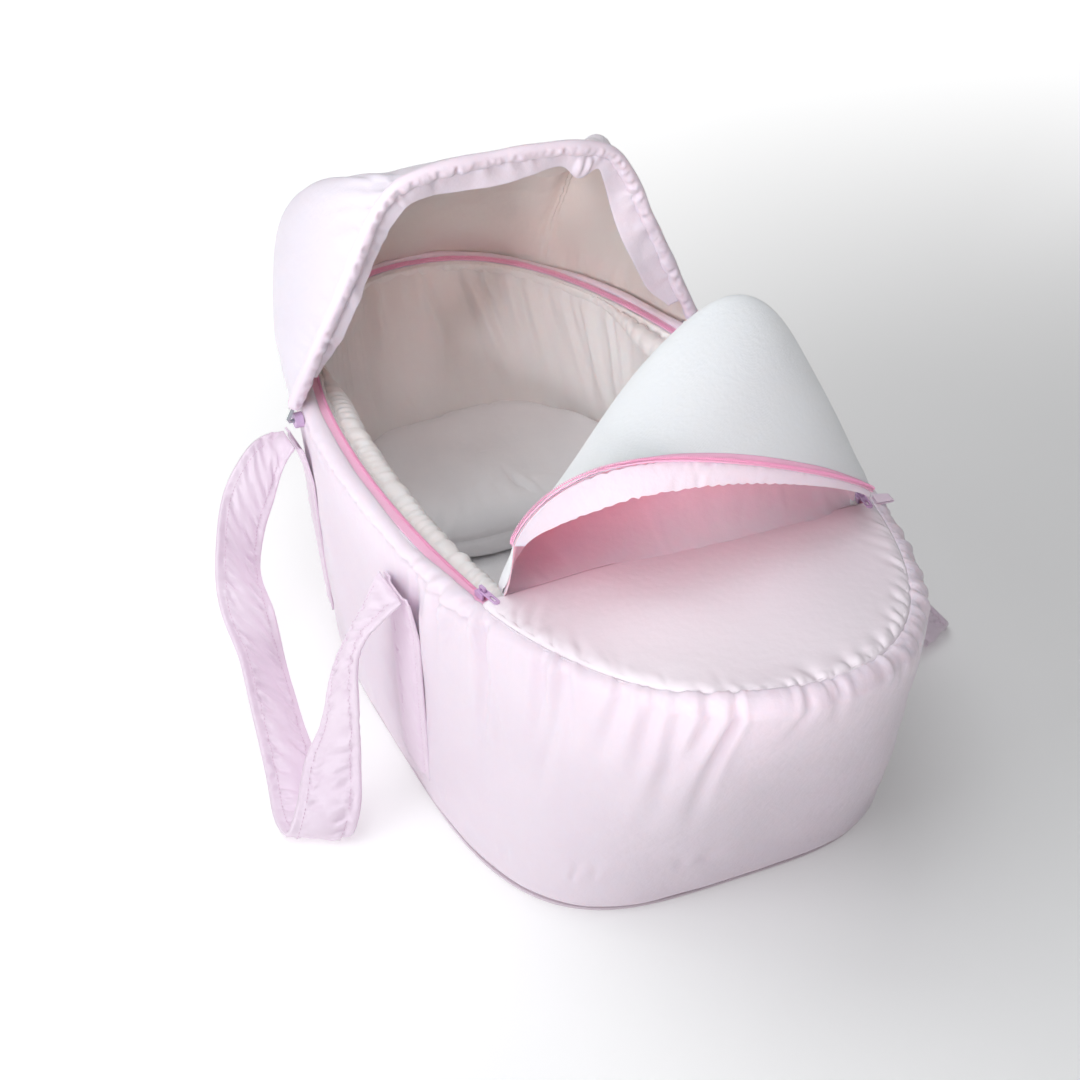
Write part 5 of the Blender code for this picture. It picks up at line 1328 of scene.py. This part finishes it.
def wall_band(name, side, end, edges):
    """Strap end on the wall; end is the index of the anchor on the handle's route."""
    head, foot = edges[0].mean(axis=0), edges[-1].mean(axis=0)
    anchor = (head, foot)[end]
    axis = (foot - head) / (foot - head)[1]
    offsets = BAND_WIDTH * np.linspace(-0.5, 0.5, 60)
    rows = [wall_side(anchor[1] + offsets, share, 0.0010) * [side, 1, 1] for share in np.linspace(0.14, 0.74, 70)]
    top = anchor + axis * offsets[:, None] + np.array([-side * 0.0045, 0, -0.0026])
    low, slope = rows[-1], rows[-1] - rows[-8]
    for step in np.linspace(0, 1, 16)[1:]:
        point = (2 * step**3 - 3 * step**2 + 1) * low + (3 * step**2 - 2 * step**3) * top
        rows.append(point + (step**3 - 2 * step**2 + step) * slope * 0.6)
    sheet = np.array(rows)
    s, t = np.broadcast_to(offsets, sheet.shape[:2]), path_length(sheet)
    rows = gathers((130 + end, 26, 0.0, t[-1, 30], -0.0195, 0.0, *BAND_PUCKERS),
                   (134 + end, 26, 0.0, t[-1, 30], 0.0195, math.pi, *BAND_PUCKERS))
    height = 0.0008 + folds(s, t, [(row[1], row[0], *row[2:]) for row in rows])
    inside = np.minimum(offsets + BAND_WIDTH / 2, BAND_WIDTH / 2 - offsets)
    height = height + 0.0016 * smooth((inside - 0.008) / 0.006) - 0.0006 * bell(inside - STITCH_INSET, 0.0012)
    normal = grid_normals(sheet)
    normal *= np.sign(normal[35, 30, 0] * side)
    sheet = sheet + normal * height[..., None]
    piece = sheet_piece("sewn_end_" + name, sheet, s, t, 0.0022, strap_satin, "basket", "satin",
                        "handle_%s_band" % name, flip=side < 0)
    for column in (9, 50):
        stitch_row("%s_stitches_%d" % (piece.name, column), sheet[2:-8, column], normal[2:-8, column], "basket")


for name, side, edges in (("left", -1, left_edges), ("right", 1, right_edges)):
    for end, anchor in enumerate(("head", "foot")):
        wall_band("%s_%s" % (name, anchor), side, end, edges)

# %% [markdown]
# ## Corner tab
#
# A short end of satin tape is folded on itself and caught in the right corner of the seam, to hold when zipping.

# %% Corner tab
TAB_LONG, TAB_HALF, TAB_FOLDED = 0.031, 0.0055, 0.0150
low, high = (np.array(corner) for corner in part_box("corner_tab"))
outward = unit(side_zip(np.array([COVER_LINE_Y]), 1)[1])[0]
forward = np.cross([0, 0, 1], outward)
bend = np.linspace(0, 1, 60)[:, None]
loop_out = np.where(bend < 0.5, bend * 2, 2 - bend * 2) * TAB_FOLDED
loop_up = 0.0004 + 0.0021 * smooth((bend - 0.42) / 0.16)
wide = np.linspace(-TAB_HALF, TAB_HALF, 24)[None]
root = np.array([(low + high)[0] / 2, COVER_LINE_Y, low[2]]) - outward * 0.0078
tab = root + outward * loop_out[..., None] + forward * (wide * (1 + 0.03 * np.sin(bend * 9)))[..., None]
tab[..., 2] += loop_up + 0.0004 * np.sin(wide / TAB_HALF * 1.5 + bend * 7)
tab_piece = sheet_piece("corner_tab_fold", tab, wide, bend * TAB_LONG, 0.0008, strap_satin, "basket", "satin",
                        "corner_tab", offset=0)

# %% [markdown]
# ## Hardware and hidden parts
#
# The sliders, pulls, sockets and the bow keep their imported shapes, which are the real ones, and get their finishes.
# The board under the mattress is pressed fibre board.

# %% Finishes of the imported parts
finishes = {"zip_slider_left": lacquer, "zip_slider_right": lacquer, "zip_pull_left": lacquer,
            "zip_pull_right": lacquer, "bow_socket_left": plastic, "bow_socket_right": plastic, "bow_wire": steel,
            "base_board": fibre_board}
for node, material in finishes.items():
    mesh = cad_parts[node].data
    mesh.materials.clear()
    mesh.materials.append(material)
